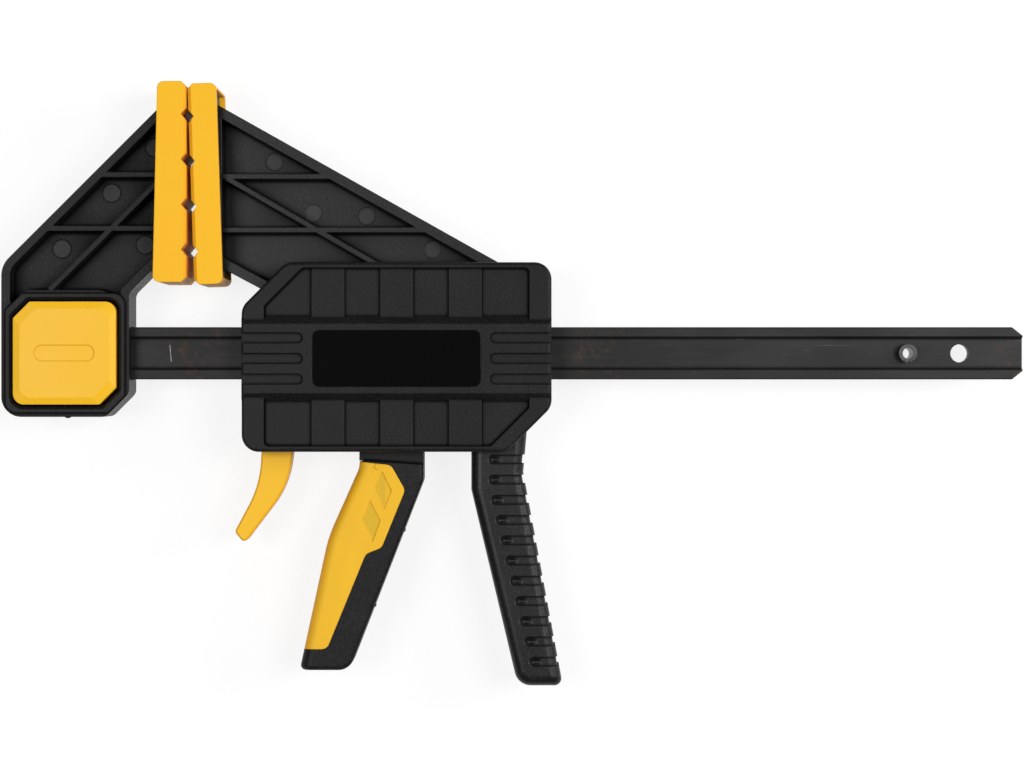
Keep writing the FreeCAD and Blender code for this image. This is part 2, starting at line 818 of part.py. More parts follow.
def fixed_jaw_ribs(body, left, nose):
    lines = new_sketch(body, "fixed_brace_lines")
    length = (nose - LATCH_X + S.fixed_brace_offset) * ROOT_TWO - S.jaw_nose_plate_thickness
    add_outline(lines, strip(LATCH_X - S.fixed_brace_offset, S.fixed_block_top, length,
                             S.brace_slope, S.jaw_rib_thickness))
    pad(body, "fixed_brace", lines, S.jaw_thickness, both_ways=True)
    for name, level in (("upper", S.fixed_upper_rib_height), ("lower", S.fixed_lower_rib_height)):
        lines = new_sketch(body, f"fixed_{name}_rib_lines")
        start = left + level - S.fixed_shoulder_height + S.fixed_rim_width
        half = S.jaw_rib_thickness / 2
        end = nose - S.jaw_nose_plate_thickness / 2
        add_outline(lines, rectangle(start, end, level - half, level + half))
        pad(body, f"fixed_{name}_rib", lines, S.jaw_thickness, both_ways=True)


def button_floor():
    return S.button_top - S.button_thickness - S.button_travel - S.latch_floor_gap


def fixed_jaw_latch_seat(body):
    """The button's well with its collar, the bar's socket and the latch pin's bore."""
    rim_top = HALF_JAW + S.collar_height
    collar = new_sketch(body, "collar_lines", along=HALF_JAW - S.collar_height)
    add_outline(collar, button_outline(S.button_gap + S.collar_width))
    pad(body, "collar", collar, 2 * S.collar_height)
    well = new_sketch(body, "button_well_lines", along=rim_top)
    add_outline(well, button_outline(S.button_gap))
    pocket(body, "button_well", well, rim_top - button_floor())
    dress("Chamfer", body, "collar_bevel", S.collar_bevel,
          lambda edge: on_faces(edge, rim_top) and is_near(edge, button_outline(S.button_gap),
                                                           S.collar_width / 2))
    socket_left = BAR_LEFT - S.bar_seat_fit
    socket = new_sketch(body, "bar_socket_lines", "YZ_Plane", along=socket_left)
    high = S.bar_height / 2 + S.bar_seat_fit
    side = S.bar_thickness / 2 + S.bar_seat_fit
    add_outline(socket, rectangle(-high, high, -side, side))
    length = LATCH_X + S.fixed_block_width / 2 + S.overrun - socket_left
    pocket(body, "bar_socket", socket, length, reverse=True)
    bore = new_sketch(body, "latch_bore_circle")
    add_circle(bore, LATCH_X, ZERO, S.latch_pin_radius + S.latch_pin_fit)
    through(body, "latch_bore", bore, 2 * rim_top)
    recess = new_sketch(body, "latch_recess_circle", along=-HALF_JAW)
    add_circle(recess, LATCH_X, ZERO, S.latch_recess_radius)
    pocket(body, "latch_recess", recess, S.latch_recess_depth, reverse=True)


def jaw_release_button():
    """The square press button, crowned, with a plain pressed panel in its middle."""
    body = new_body("jaw_release_button")
    bottom = S.button_top - S.button_thickness
    crown = S.button_top - S.button_crown_height
    lines = new_sketch(body, "button_lines", along=bottom)
    add_outline(lines, button_outline(ZERO))
    pad(body, "button_block", lines, S.button_thickness - S.button_crown_height)
    foot = new_sketch(body, "button_crown_foot", along=crown)
    add_outline(foot, button_outline(ZERO))
    top = new_sketch(body, "button_crown_top", along=S.button_top)
    add_outline(top, button_outline(-S.button_crown_width))
    loft = body.newObject("PartDesign::AdditiveLoft", "button_crown")
    loft.Profile = foot
    loft.Sections = [top]
    loft.Ruled = True
    body.Tip = loft
    mark = new_sketch(body, "button_mark_lines", along=S.button_top)
    half_wide = S.button_mark_width / 2
    half_high = S.button_mark_height / 2
    add_outline(mark, rectangle(LATCH_X - half_wide, LATCH_X + half_wide, -half_high, half_high,
                                half_high * END_ROUND_SHARE))
    pocket(body, "button_mark", mark, S.button_mark_depth)
    socket = new_sketch(body, "button_socket_circle", along=bottom)
    add_circle(socket, LATCH_X, ZERO, S.latch_waist_radius + S.press_gap)
    pocket(body, "button_socket", socket, S.button_socket_depth, reverse=True)
    return node(body)


def ring_top():
    """Level of the retaining ring's upper face, just under the recess floor."""
    return S.latch_recess_depth - HALF_JAW - S.latch_floor_gap


def latch_pin():
    """A pin whose thick part locks the bar's keyhole and whose waist lets it go."""
    body = new_body("latch_pin")
    thick = S.latch_pin_radius
    waist = S.latch_waist_radius
    groove = S.latch_ring_groove_radius
    top = S.button_top - S.button_thickness + S.button_socket_depth
    high = ring_top() + S.press_gap
    low = ring_top() - S.latch_ring_thickness - S.press_gap
    turned(body, "latch_pin_shape", [
        (ZERO, -S.latch_pin_tail),
        (thick - S.latch_pin_lead, -S.latch_pin_tail),
        (thick, S.latch_pin_lead - S.latch_pin_tail),
        (thick, low),
        (groove, low),
        (groove, high),
        (thick, high),
        (thick, S.latch_engagement),
        (waist, S.latch_engagement + thick - waist),
        (waist, top),
        (ZERO, top),
    ], LATCH_X, ZERO)
    return node(body)


def latch_retaining_ring():
    """An open ring in the latch pin's groove."""
    body = new_body("latch_retaining_ring")
    rings = new_sketch(body, "ring_circles", along=ring_top())
    add_circle(rings, LATCH_X, ZERO, S.latch_ring_radius)
    add_circle(rings, LATCH_X, ZERO, S.latch_ring_groove_radius + S.press_gap)
    pad(body, "ring_disc", rings, S.latch_ring_thickness, reverse=True)
    gap = new_sketch(body, "ring_gap_lines")
    half = S.latch_ring_opening / 2
    reach = S.latch_ring_radius + S.overrun
    add_outline(gap, rectangle(LATCH_X - half, LATCH_X + half, -reach, ZERO))
    through(body, "ring_gap", gap, S.jaw_thickness)
    return node(body)


def latch_spring():
    """Lifts the button off the floor of its well."""
    body = new_body("latch_spring")
    wire = S.latch_spring_wire
    low = button_floor() + wire / 2 + S.spring_gap / 4
    height = S.button_travel + S.latch_floor_gap - wire - S.spring_gap / 2
    place = {"plane": "XZ_Plane", "right": LATCH_X}
    coil(body, "latch_coil", place, (S.latch_spring_radius, low), wire, S.latch_spring_pitch,
         height, "V_Axis")
    return node(body)


# Covers

def cover_outline(inset):
    """The housing's outline: a rectangle with two long chamfers opposite each other."""
    wide = S.cover_width / 2 - inset
    high = S.cover_height / 2 - inset
    top = high - S.cover_drop
    bottom = -high - S.cover_drop
    chamfer = S.cover_chamfer
    radius = S.cover_corner_radius - inset / 2
    return [
        (-wide, bottom, radius),
        (wide - chamfer, bottom, radius),
        (wide, bottom + chamfer, radius),
        (wide, top, radius),
        (chamfer - wide, top, radius),
        (-wide, top - chamfer, radius),
    ]


def band_limits(margin):
    """Lower and upper edge of the raised band, moved in by a margin."""
    half = S.cover_band_height / 2 - margin
    return -half - S.cover_band_drop, half - S.cover_band_drop


def panel_outline(upper):
    """One of the sunk panels, up to the band's top edge, with the cover's own chamfer."""
    wide = S.cover_width / 2 - S.cover_panel_margin
    low_edge, high_edge = band_limits(ZERO)
    chamfer = S.cover_chamfer - S.cover_panel_margin + S.cover_panel_margin / ROOT_TWO
    radius = S.cover_panel_radius
    if upper:
        outer = S.cover_height / 2 - S.cover_drop - S.cover_panel_edge
        return [
            (-wide, high_edge),
            (wide, high_edge),
            (wide, outer, radius),
            (chamfer - wide, outer, radius),
            (-wide, outer - chamfer, radius),
        ]
    outer = S.cover_panel_edge - S.cover_height / 2 - S.cover_drop
    return [
        (-wide, low_edge),
        (-wide, outer, radius),
        (wide - chamfer, outer, radius),
        (wide, outer + chamfer, radius),
        (wide, low_edge),
    ]


def trigger_pivot():
    return -S.trigger_pivot_left, S.trigger_pivot_height


def release_pivot():
    return -S.release_pivot_left, -S.release_pivot_depth


def screw_places():
    """Places of the four cover screws, each beside the wall or rib that holds its boss."""
    right = S.cover_width / 2
    top = S.cover_height / 2 - S.cover_drop
    bottom = -S.cover_height / 2 - S.cover_drop
    yield -S.rib_screw_left, top - S.rib_screw_inset
    yield right - S.top_screw_end_inset, top - S.top_screw_inset
    yield -S.slot_screw_left, bottom + S.slot_screw_inset
    yield right - S.chamfer_screw_end_inset, bottom + S.chamfer_screw_inset


def cover_shell(body, side, tag):
    """The outside of a cover: rim, sunk panels, raised band, treads and flutes."""
    rear = side < 0
    lines = new_sketch(body, f"{tag}_rim_lines", along=side * HALF_JAW)
    add_outline(lines, cover_outline(ZERO))
    pad(body, f"{tag}_rim", lines, S.cover_depth, reverse=rear)
    dress("Fillet", body, f"{tag}_rim_edge", S.cover_edge_radius,
          lambda edge: on_faces(edge, RIM_LEVEL))
    for upper, name in ((True, "upper"), (False, "lower")):
        lines = new_sketch(body, f"{tag}_{name}_panel_lines", along=side * RIM_LEVEL)
        add_outline(lines, panel_outline(upper))
        pocket(body, f"{tag}_{name}_panel", lines, S.cover_panel_sink, reverse=rear)
    low, high = band_limits(ZERO)
    bevel = S.cover_band_bevel
    lines = new_sketch(body, f"{tag}_band_lines", "YZ_Plane")
    add_outline(lines, [
        (low - bevel, side * HALF_JAW),
        (high + bevel, side * HALF_JAW),
        (high + bevel, side * PANEL_LEVEL),
        (high, side * BAND_LEVEL),
        (low, side * BAND_LEVEL),
        (low - bevel, side * PANEL_LEVEL),
    ])
    pad(body, f"{tag}_band", lines, S.cover_width, both_ways=True)
    reach = S.cover_width.value / 2 - TOUCH
    dress("Fillet", body, f"{tag}_band_ends", S.cover_edge_radius,
          lambda edge: on_faces(edge, BAND_LEVEL) and abs(edge.CenterOfMass.x) > reach)
    cover_treads(body, side, tag)
    cover_flutes(body, side, tag)


def cover_treads(body, side, tag):
    """Six flat treads that stand on the sunk panels and run onto the band's flanks."""
    lines = new_sketch(body, f"{tag}_tread_lines", along=side * (PANEL_LEVEL - S.cover_wall / 2))
    low, high = band_limits(-S.cover_band_bevel)
    edge = S.cover_height / 2 - S.cover_panel_edge
    for i in range(TREAD_COUNT):
        middle = (i - (TREAD_COUNT - 1) / 2) * S.tread_pitch
        left = middle - S.tread_width / 2
        right = middle + S.tread_width / 2
        add_outline(lines, rectangle(left, right, high - S.tread_ledge, edge - S.cover_drop))
        add_outline(lines, rectangle(left, right, -edge - S.cover_drop, low + S.tread_ledge))
    pad(body, f"{tag}_treads", lines, S.cover_wall / 2 + S.tread_rise, reverse=side < 0)


def cover_flutes(body, side, tag):
    """Shallow flutes with round ends that run out at both ends of the band."""
    lines = new_sketch(body, f"{tag}_flute_lines", along=side * BAND_LEVEL)
    half = S.flute_height / 2
    end = S.cover_width / 2
    radius = half * END_ROUND_SHARE
    for i in range(FLUTE_COUNT):
        level = (i - (FLUTE_COUNT - 1) / 2) * S.flute_pitch - S.cover_band_drop
        for out in (1, -1):
            add_outline(lines, [
                (out * (end + S.overrun), level - half),
                (out * (end + S.overrun), level + half),
                (out * (end - S.flute_length), level + half, radius),
                (out * (end - S.flute_length), level - half, radius),
            ])
    pocket(body, f"{tag}_flutes", lines, S.flute_depth, reverse=side < 0)


def cover_inside(body, side, tag):
    """The hollow, with bosses for the pins and screws."""
    rear = side < 0
    lines = new_sketch(body, f"{tag}_hollow_lines", along=side * HALF_JAW)
    add_outline(lines, cover_outline(S.cover_wall))
    pocket(body, f"{tag}_hollow", lines, INNER_LEVEL - HALF_JAW, reverse=not rear)
    low, high = band_limits(S.cover_wall)
    reach = S.cover_width / 2 - S.cover_wall
    lines = new_sketch(body, f"{tag}_band_hollow_lines", along=side * HALF_JAW)
    add_outline(lines, rectangle(-reach, reach, low, high))
    pocket(body, f"{tag}_band_hollow", lines, BAND_LEVEL - S.cover_wall - HALF_JAW, reverse=not rear)
    seats = new_sketch(body, f"{tag}_screw_boss_circles", along=side * HALF_JAW)
    for x, y in screw_places():
        add_circle(seats, x, y, S.screw_boss_radius)
    depth = INNER_LEVEL + S.cover_wall / 2
    pad(body, f"{tag}_screw_bosses", seats, depth - HALF_JAW, reverse=rear)
    bosses = (
        ("trigger", trigger_pivot(), S.trigger_pin_radius, S.trigger_neck_thickness / 2,
         S.trigger_pin_half_length),
        ("release", release_pivot(), S.release_pin_radius, S.release_thickness / 2,
         S.release_pin_half_length),
    )
    for name, (x, y), radius, clear_of, pin_end in bosses:
        start = clear_of + S.boss_gap
        circle = new_sketch(body, f"{tag}_{name}_boss_circle", along=side * start)
        add_circle(circle, x, y, radius + S.pin_boss_wall)
        pad(body, f"{tag}_{name}_boss", circle, depth - start, reverse=rear)
        circle = new_sketch(body, f"{tag}_{name}_bore_circle", along=side * start)
        add_circle(circle, x, y, radius + S.press_gap)
        pocket(body, f"{tag}_{name}_bore", circle, pin_end + S.press_gap - start, reverse=not rear)


def front_cover():
    """The cover that carries the label; its screw bosses are blind."""
    body = new_body("front_cover")
    cover_shell(body, 1, "front")
    label = new_sketch(body, "label_seat_lines", along=BAND_LEVEL)
    add_outline(label, label_outline(S.label_gap))
    pocket(body, "label_seat", label, S.label_thickness)
    cover_inside(body, 1, "front")
    threads = new_sketch(body, "front_thread_circles", along=HALF_JAW)
    for x, y in screw_places():
        add_circle(threads, x, y, S.screw_radius + S.press_gap)
    pocket(body, "front_threads", threads, screw_end() + S.press_gap - HALF_JAW, reverse=True)
    return node(body)


def rear_cover():
    """The cover that the clamp lies on; the screws go in through it."""
    body = new_body("rear_cover")
    cover_shell(body, -1, "rear")
    cover_inside(body, -1, "rear")
    holes = new_sketch(body, "rear_screw_holes", along=-HALF_JAW)
    heads = new_sketch(body, "rear_head_holes", along=-(screw_head_level() - S.screw_head_height))
    for x, y in screw_places():
        add_circle(holes, x, y, S.screw_radius + S.screw_fit)
        add_circle(heads, x, y, S.screw_head_radius + S.screw_fit)
    pocket(body, "rear_screw_bores", holes, S.cover_depth + S.overrun)
    pocket(body, "rear_head_bores", heads, S.cover_depth + S.overrun)
    return node(body)


def label_outline(margin):
    half_wide = S.label_width / 2 + margin
    half_high = S.label_height / 2 + margin
    return rectangle(-half_wide, half_wide, -half_high - S.cover_band_drop,
                     half_high - S.cover_band_drop, S.label_corner_radius)


def front_label():
    body = new_body("front_label")
    lines = new_sketch(body, "label_lines", along=BAND_LEVEL)
    add_outline(lines, label_outline(ZERO))
    pad(body, "label_sheet", lines, S.label_thickness - S.press_gap, reverse=True)
    return node(body)


def screw_head_level():
    """Depth of a screw head's outer face below the middle plane, sunk in the rear panel."""
    return PANEL_LEVEL - S.screw_head_sink


def screw_end():
    """Height of a screw's tip above the middle plane, inside the front cover's boss."""
    return INNER_LEVEL - S.screw_end_cover


def cover_screws():
    """Four equal pan head screws that hold both covers to the housing."""
    screws = []
    head_out = -screw_head_level()
    head_in = head_out + S.screw_head_height
    for i, (x, y) in enumerate(screw_places(), start=1):
        body = loose_body(f"screw_{i}")
        turned(body, f"screw_shape_{i}", [
            (ZERO, head_out),
            (S.screw_head_radius, head_out),
            (S.screw_head_radius, head_in),
            (S.screw_radius, head_in),
            (S.screw_radius, screw_end() - S.screw_radius),
            (S.screw_radius / 2, screw_end()),
            (ZERO, screw_end()),
        ], x, y)
        screws.append(body)
    group = document.addObject("Part::MultiFuse", "cover_screws")
    group.Shapes = screws
    group.setExpression("Placement.Base.z", BAND_LEVEL.text)
    return node(group)


# Sliding jaw

def grip_outline(inset):
    """The fixed grip behind the trigger, from inside the housing down to its toe."""
    root = S.cover_height / 2 + S.cover_drop - S.housing_inset - S.housing_wall / 2
    return [
        (S.grip_front + inset, -root),
        (S.grip_front + inset, -S.grip_bend_depth, S.grip_bend_radius),
        (S.grip_toe_front + inset, inset - S.grip_length, S.grip_toe_front_radius),
        (S.grip_toe_back - inset, inset - S.grip_length, S.grip_toe_back_radius),
        (S.grip_back - inset, -S.grip_back_depth),
        (S.grip_back + S.grip_neck_flare - inset, S.grip_neck_rise - root),
    ]


def grip_shape(body, tag, inset):
    lines = new_sketch(body, f"{tag}_lines")
    add_outline(lines, grip_outline(inset))
    pad(body, f"{tag}_slab", lines, S.jaw_thickness - 2 * inset, both_ways=True)
    root = grip_outline(inset)[0][1].value - TOUCH
    dress("Fillet", body, f"{tag}_edges", S.grip_edge_radius - inset,
          lambda edge: on_faces(edge, HALF_JAW - inset) and edge.CenterOfMass.y < root)


def grip_core():
    """The grip's inner skin, at the bottom of its grooves."""
    body = loose_body("grip_core")
    grip_shape(body, "core", S.grip_groove_depth)
    return body


def grip_grooves(body):
    """Finger grooves round the grip's back, each starting a little further back than the last."""
    lines = new_sketch(body, "grip_groove_lines")
    half = S.grip_groove_height / 2
    lean = (S.grip_toe_front - S.grip_front) / (S.grip_length - S.grip_bend_depth)
    end = S.grip_toe_back + S.overrun
    for i in range(GROOVE_COUNT):
        depth = S.grip_groove_start + i * S.grip_groove_pitch
        below_bend = larger(ZERO, depth - S.grip_bend_depth)
        start = S.grip_front + S.grip_groove_inset + below_bend * lean
        add_outline(lines, [
            (start, -depth - half, S.grip_groove_end_radius),
            (end, -depth - half),
            (end, -depth + half),
            (start, -depth + half, S.grip_groove_end_radius),
        ])
    through(body, "grip_grooves", lines, S.jaw_thickness)


def arm_top(x):
    """Height of the sliding arm's top edge."""
    housing_top = S.cover_height / 2 - S.cover_drop - S.housing_inset
    return housing_top + (S.arm_end_reach - x) * tangent(S.arm_top_slope)


def heel_height():
    """Height at which the arm's underside meets the housing's chamfer."""
    return (S.cover_height / 2 - S.cover_drop - S.cover_chamfer + S.cover_width / 2
            - S.arm_heel_reach)


def arm_low(x):
    """Height of the sliding arm's underside."""
    return heel_height() - (x + S.arm_heel_reach) * tangent(S.arm_low_slope)


def sliding_arm(body):
    """The arm from the housing to the nose plate, sunk to a web between its ribs."""
    nose = sliding_contact_x() + S.pad_face_thickness + S.jaw_nose_plate_thickness / 2
    inner_top = S.cover_height / 2 - S.cover_drop - S.housing_inset - S.housing_wall / 2
    lines = new_sketch(body, "arm_silhouette")
    add_outline(lines, [
        (nose, arm_low(nose)),
        (-S.arm_heel_reach, heel_height()),
        (inner_top - heel_height() - S.arm_heel_reach, inner_top),
        (S.arm_end_reach, inner_top),
        (S.arm_end_reach, arm_top(S.arm_end_reach)),
        (nose, arm_top(nose)),
    ])
    pad(body, "arm_slab", lines, S.jaw_thickness, both_ways=True)
    rim = S.arm_rim_width
    low_rim = rim / cosine(S.arm_low_slope)
    top_rim = rim / cosine(S.arm_top_slope)
    heel_shift = low_rim / (1 + tangent(S.arm_low_slope))
    back = nose + S.jaw_nose_plate_thickness
    top = S.cover_height / 2 - S.cover_drop - S.housing_inset
    recess = [
        (back, arm_low(back) + low_rim),
        (heel_shift - S.arm_heel_reach, heel_height() + heel_shift),
        (top - heel_height() - S.arm_heel_reach, top),
        (S.arm_end_reach - top_rim / tangent(S.arm_top_slope), top),
        (back, arm_top(back) - top_rim),
    ]
    for side, name in ((1, "front"), (-1, "rear")):
        lines = new_sketch(body, f"arm_{name}_recess_lines", along=side * HALF_JAW)
        add_outline(lines, recess)
        pocket(body, f"arm_{name}_recess", lines, HALF_JAW - HALF_WEB, reverse=side < 0)
    half = S.jaw_rib_thickness / 2
    for name, level in (("upper", S.arm_upper_rib_height), ("lower", S.arm_lower_rib_height)):
        end = S.arm_end_reach - (level - top) / tangent(S.arm_top_slope) - rim
        lines = new_sketch(body, f"arm_{name}_rib_lines")
        add_outline(lines, rectangle(nose, end, level - half, level + half))
        pad(body, f"arm_{name}_rib", lines, S.jaw_thickness, both_ways=True)
    lines = new_sketch(body, "arm_brace_lines")
    fall = S.arm_brace_height - inner_top
    length = fall / sine(S.arm_brace_slope)
    add_outline(lines, strip(back + rim / 2, S.arm_brace_height, length, -S.arm_brace_slope,
                             S.jaw_rib_thickness))
    pad(body, "arm_brace", lines, S.jaw_thickness, both_ways=True)
    lines = new_sketch(body, "arm_nose_plate_lines")
    reach = S.pad_height / 2 - S.pad_wall_thickness - S.pad_fit
    near = S.pad_face_thickness
    far = near + S.jaw_nose_plate_thickness
    add_outline(lines, [
        toe_point(near, -reach),
        toe_point(far, -reach),
        toe_point(far, reach),
        toe_point(near, reach),
    ])
    width = S.pad_thickness - 2 * (S.pad_wall_thickness + S.pad_fit)
    pad(body, "arm_nose_plate", lines, width, both_ways=True)
    marks = new_sketch(body, "arm_ejector_circles", along=HALF_WEB)
    for across, up in ARM_MARK_SHARES:
        x = nose + across * (S.arm_end_reach - nose)
        y = up * arm_top(nose)
        add_circle(marks, x, y, S.ejector_mark_radius)
    pocket(body, "arm_ejector_marks", marks, S.ejector_mark_depth)


def housing(body):
    """The ring of walls round the works, with a bearing rib and the slots for both levers."""
    lines = new_sketch(body, "housing_lines")
    add_outline(lines, cover_outline(S.housing_inset))
    pad(body, "housing_slab", lines, S.jaw_thickness, both_ways=True)
    wall = S.housing_inset + S.housing_wall
    lines = new_sketch(body, "housing_hollow_lines")
    add_outline(lines, cover_outline(wall))
    through(body, "housing_hollow", lines, S.jaw_thickness)
    inner_top = S.cover_height / 2 - S.cover_drop - wall
    inner_bottom = wall - S.cover_height / 2 - S.cover_drop
    bite = S.housing_wall / 2
    lines = new_sketch(body, "housing_rib_lines")
    add_outline(lines, rectangle(-S.housing_rib_place, S.housing_rib_thickness - S.housing_rib_place,
                                 inner_bottom - bite, inner_top + bite))
    pad(body, "housing_rib", lines, S.jaw_thickness, both_ways=True)
    seat_half = brake_pack() / 2 + S.brake_seat_fit
    block_half = seat_half + S.brake_seat_wall
    lines = new_sketch(body, "brake_seat_block_lines")
    block_low = S.brake_hinge_height - S.brake_plate_top * 2
    add_outline(lines, rectangle(-S.brake_hinge_left - block_half, block_half - S.brake_hinge_left,
                                 block_low, inner_top + bite))
    pad(body, "brake_seat_block", lines, S.jaw_thickness, both_ways=True)
    lines = new_sketch(body, "brake_seat_lines")
    seat_top = S.brake_hinge_height + S.brake_plate_top + S.brake_seat_fit
    add_outline(lines, rectangle(-S.brake_hinge_left - seat_half, seat_half - S.brake_hinge_left,
                                 block_low - S.overrun, seat_top))
    through(body, "brake_seat", lines, S.jaw_thickness)
    lines = new_sketch(body, "housing_screw_boss_circles")
    for x, y in screw_places():
        add_circle(lines, x, y, S.screw_boss_radius)
    pad(body, "housing_screw_bosses", lines, S.jaw_thickness, both_ways=True)
    lines = new_sketch(body, "housing_screw_bore_circles")
    for x, y in screw_places():
        add_circle(lines, x, y, S.screw_radius + S.screw_fit)
    through(body, "housing_screw_bores", lines, S.jaw_thickness)
    lines = new_sketch(body, "bar_passage_lines", "YZ_Plane")
    high = S.bar_height / 2 + S.bar_slide_fit
    side = S.bar_thickness / 2 + S.bar_slide_fit
    add_outline(lines, rectangle(-high, high, -side, side))
    through(body, "bar_passage", lines, S.cover_width)


def lever_slots(body):
    """Slots in the housing's bottom wall, where the trigger and the release lever come out."""
    bottom = S.cover_height / 2 + S.cover_drop
    slots = (
        ("trigger", -S.trigger_front - S.trigger_slot_front, S.trigger_back + S.trigger_slot_back,
         S.trigger_neck_thickness),
        ("release", -S.release_front - S.release_slot_front, S.release_slot_back - S.release_back,
         S.release_thickness),
    )
    for name, left, right, thickness in slots:
        side = thickness / 2 + S.bar_slide_fit
        depth = S.housing_wall + S.cover_corner_radius / 2
        lines = new_sketch(body, f"{name}_slot_lines", "XZ_Plane", along=bottom - depth)
        add_outline(lines, rectangle(left, right, -side, side))
        pocket(body, f"{name}_slot", lines, depth + S.overrun, reverse=True)


def sliding_jaw_frame():
    """One moulding: arm, housing walls and the fixed grip."""
    core = grip_core()
    body = new_body("sliding_jaw_frame")
    grip_shape(body, "grip", ZERO)
    grip_grooves(body)
    join = body.newObject("PartDesign::Boolean", "grip_join")
    join.Type = "Fuse"
    join.Group = [core]
    body.Tip = join
    housing(body)
    sliding_arm(body)
    lever_slots(body)
    return node(body)


# Trigger

def trigger_box(across, down):
    """Places a share of the trigger's depth and height below its neck."""
    width = S.trigger_tip_reach + S.trigger_back
    height = S.trigger_length - S.trigger_top_depth
    return across * width - S.trigger_tip_reach, -S.trigger_top_depth - down * height


def rounded_lever(body, tag, proud):
    """The trigger below its neck, with a broad round on its front edge."""
    lines = new_sketch(body, f"{tag}_lever_lines")
    front = trigger_front_edge(ZERO)
    add_outline(lines, [
        *front,
        (-S.trigger_heel_reach, -S.trigger_length, S.trigger_heel_radius),
        (S.trigger_back, -S.trigger_back_bend_depth, S.trigger_back_bend_radius),
        (S.trigger_back, -S.trigger_top_depth - S.trigger_top_drop),
    ])
    half = S.trigger_thickness / 2 + proud
    pad(body, f"{tag}_lever", lines, 2 * half, both_ways=True)
    dress("Fillet", body, f"{tag}_front_edges", S.trigger_front_edge_radius,
          lambda edge: on_faces(edge, half) and is_near(edge, front, S.front_grip_thickness))


def trigger_core():
    """The trigger's hard body: a fork over the bar, its eye, the neck and the long lever."""
    body = new_body("trigger_core")
    rounded_lever(body, "core", ZERO)
    top = -S.trigger_neck_bend_depth.value
    dress("Fillet", body, "core_back_edges", S.trigger_back_edge_radius,
          lambda edge: on_faces(edge, S.trigger_thickness / 2) and edge.CenterOfMass.y < top)
    trigger_rebate(body)
    neck = new_sketch(body, "trigger_neck_lines")
    x, y = trigger_pivot()
    eye = S.trigger_eye_radius
    add_outline(neck, [
        (-S.trigger_front, -S.trigger_top_depth),
        (S.trigger_back, -S.trigger_top_depth - S.trigger_top_drop),
        (S.trigger_back, -S.trigger_neck_depth, S.trigger_neck_bend_radius),
        (S.trigger_lobe_root_reach, -S.trigger_lobe_root_depth),
        (S.trigger_lobe_reach, -S.trigger_lobe_drop, S.trigger_lobe_radius),
        (x + eye, y - eye),
        (x + eye, y + eye, eye * EYE_ROUND_SHARE),
        (x - eye, y + eye, eye * EYE_ROUND_SHARE),
        (x - eye, y - eye),
        (-S.trigger_front, -S.trigger_neck_depth, S.trigger_neck_bend_radius),
    ])
    pad(body, "trigger_neck", neck, S.trigger_neck_thickness, both_ways=True)
    fork = new_sketch(body, "trigger_fork_lines")
    add_outline(fork, rectangle(-S.trigger_front - S.overrun, S.trigger_lobe_reach + S.overrun,
                                -S.trigger_slot_depth, y + eye + S.overrun))
    pocket(body, "trigger_fork", fork, S.trigger_fork_slot, both_ways=True)
    bore = new_sketch(body, "trigger_bore_circle")
    add_circle(bore, x, y, S.trigger_pin_radius + S.trigger_pin_fit)
    through(body, "trigger_bore", bore, S.trigger_thickness)
    return node(body)


def trigger_front_edge(inset):
    """The trigger's front edge from its neck to its tip, moved back by an inset."""
    return [
        (inset - S.trigger_front, -S.trigger_top_depth),
        (inset - S.trigger_front, -S.trigger_neck_bend_depth, S.trigger_neck_bend_radius),
        (inset - S.trigger_knee_reach, -S.trigger_knee_depth, S.trigger_knee_radius),
        (inset - S.trigger_tip_reach, -S.trigger_length),
    ]


def soft_zone(reach, inset):
    """The part of the trigger that the soft grip covers, out to a reach in front of the edge."""
    top, bend, knee, tip = trigger_front_edge(inset - reach)
    last_across, last_down = FRONT_GRIP_SHARES[-1]
    end_y = trigger_box(last_across, last_down)[1]
    share = (end_y + S.trigger_knee_depth) / (S.trigger_knee_depth - S.trigger_length)
    end_x = knee[0] - (S.trigger_tip_reach - S.trigger_knee_reach) * share
    corners = [top, bend, knee, (end_x, end_y)]
    for across, down in reversed(FRONT_GRIP_SHARES):
        corners.append((*trigger_box(across, down), S.front_grip_corner_radius))
    return corners


def trigger_rebate(body):
    """Lowers the front of the lever on both faces and along its edge for the soft grip."""
    cheek = S.trigger_thickness / 2
    depth = S.front_grip_thickness + S.front_grip_fit
    for side, name in ((1, "front"), (-1, "rear")):
        lines = new_sketch(body, f"trigger_{name}_rebate_lines", along=side * cheek)
        add_outline(lines, soft_zone(S.overrun, ZERO))
        pocket(body, f"trigger_{name}_rebate", lines, depth, reverse=side < 0)
    lines = new_sketch(body, "trigger_edge_rebate_lines")
    outer = soft_zone(S.overrun, ZERO)[:4]
    inner = soft_zone(ZERO, depth)[:4]
    add_outline(lines, [*outer, *reversed(inner)])
    through(body, "trigger_edge_rebate", lines, S.trigger_thickness)


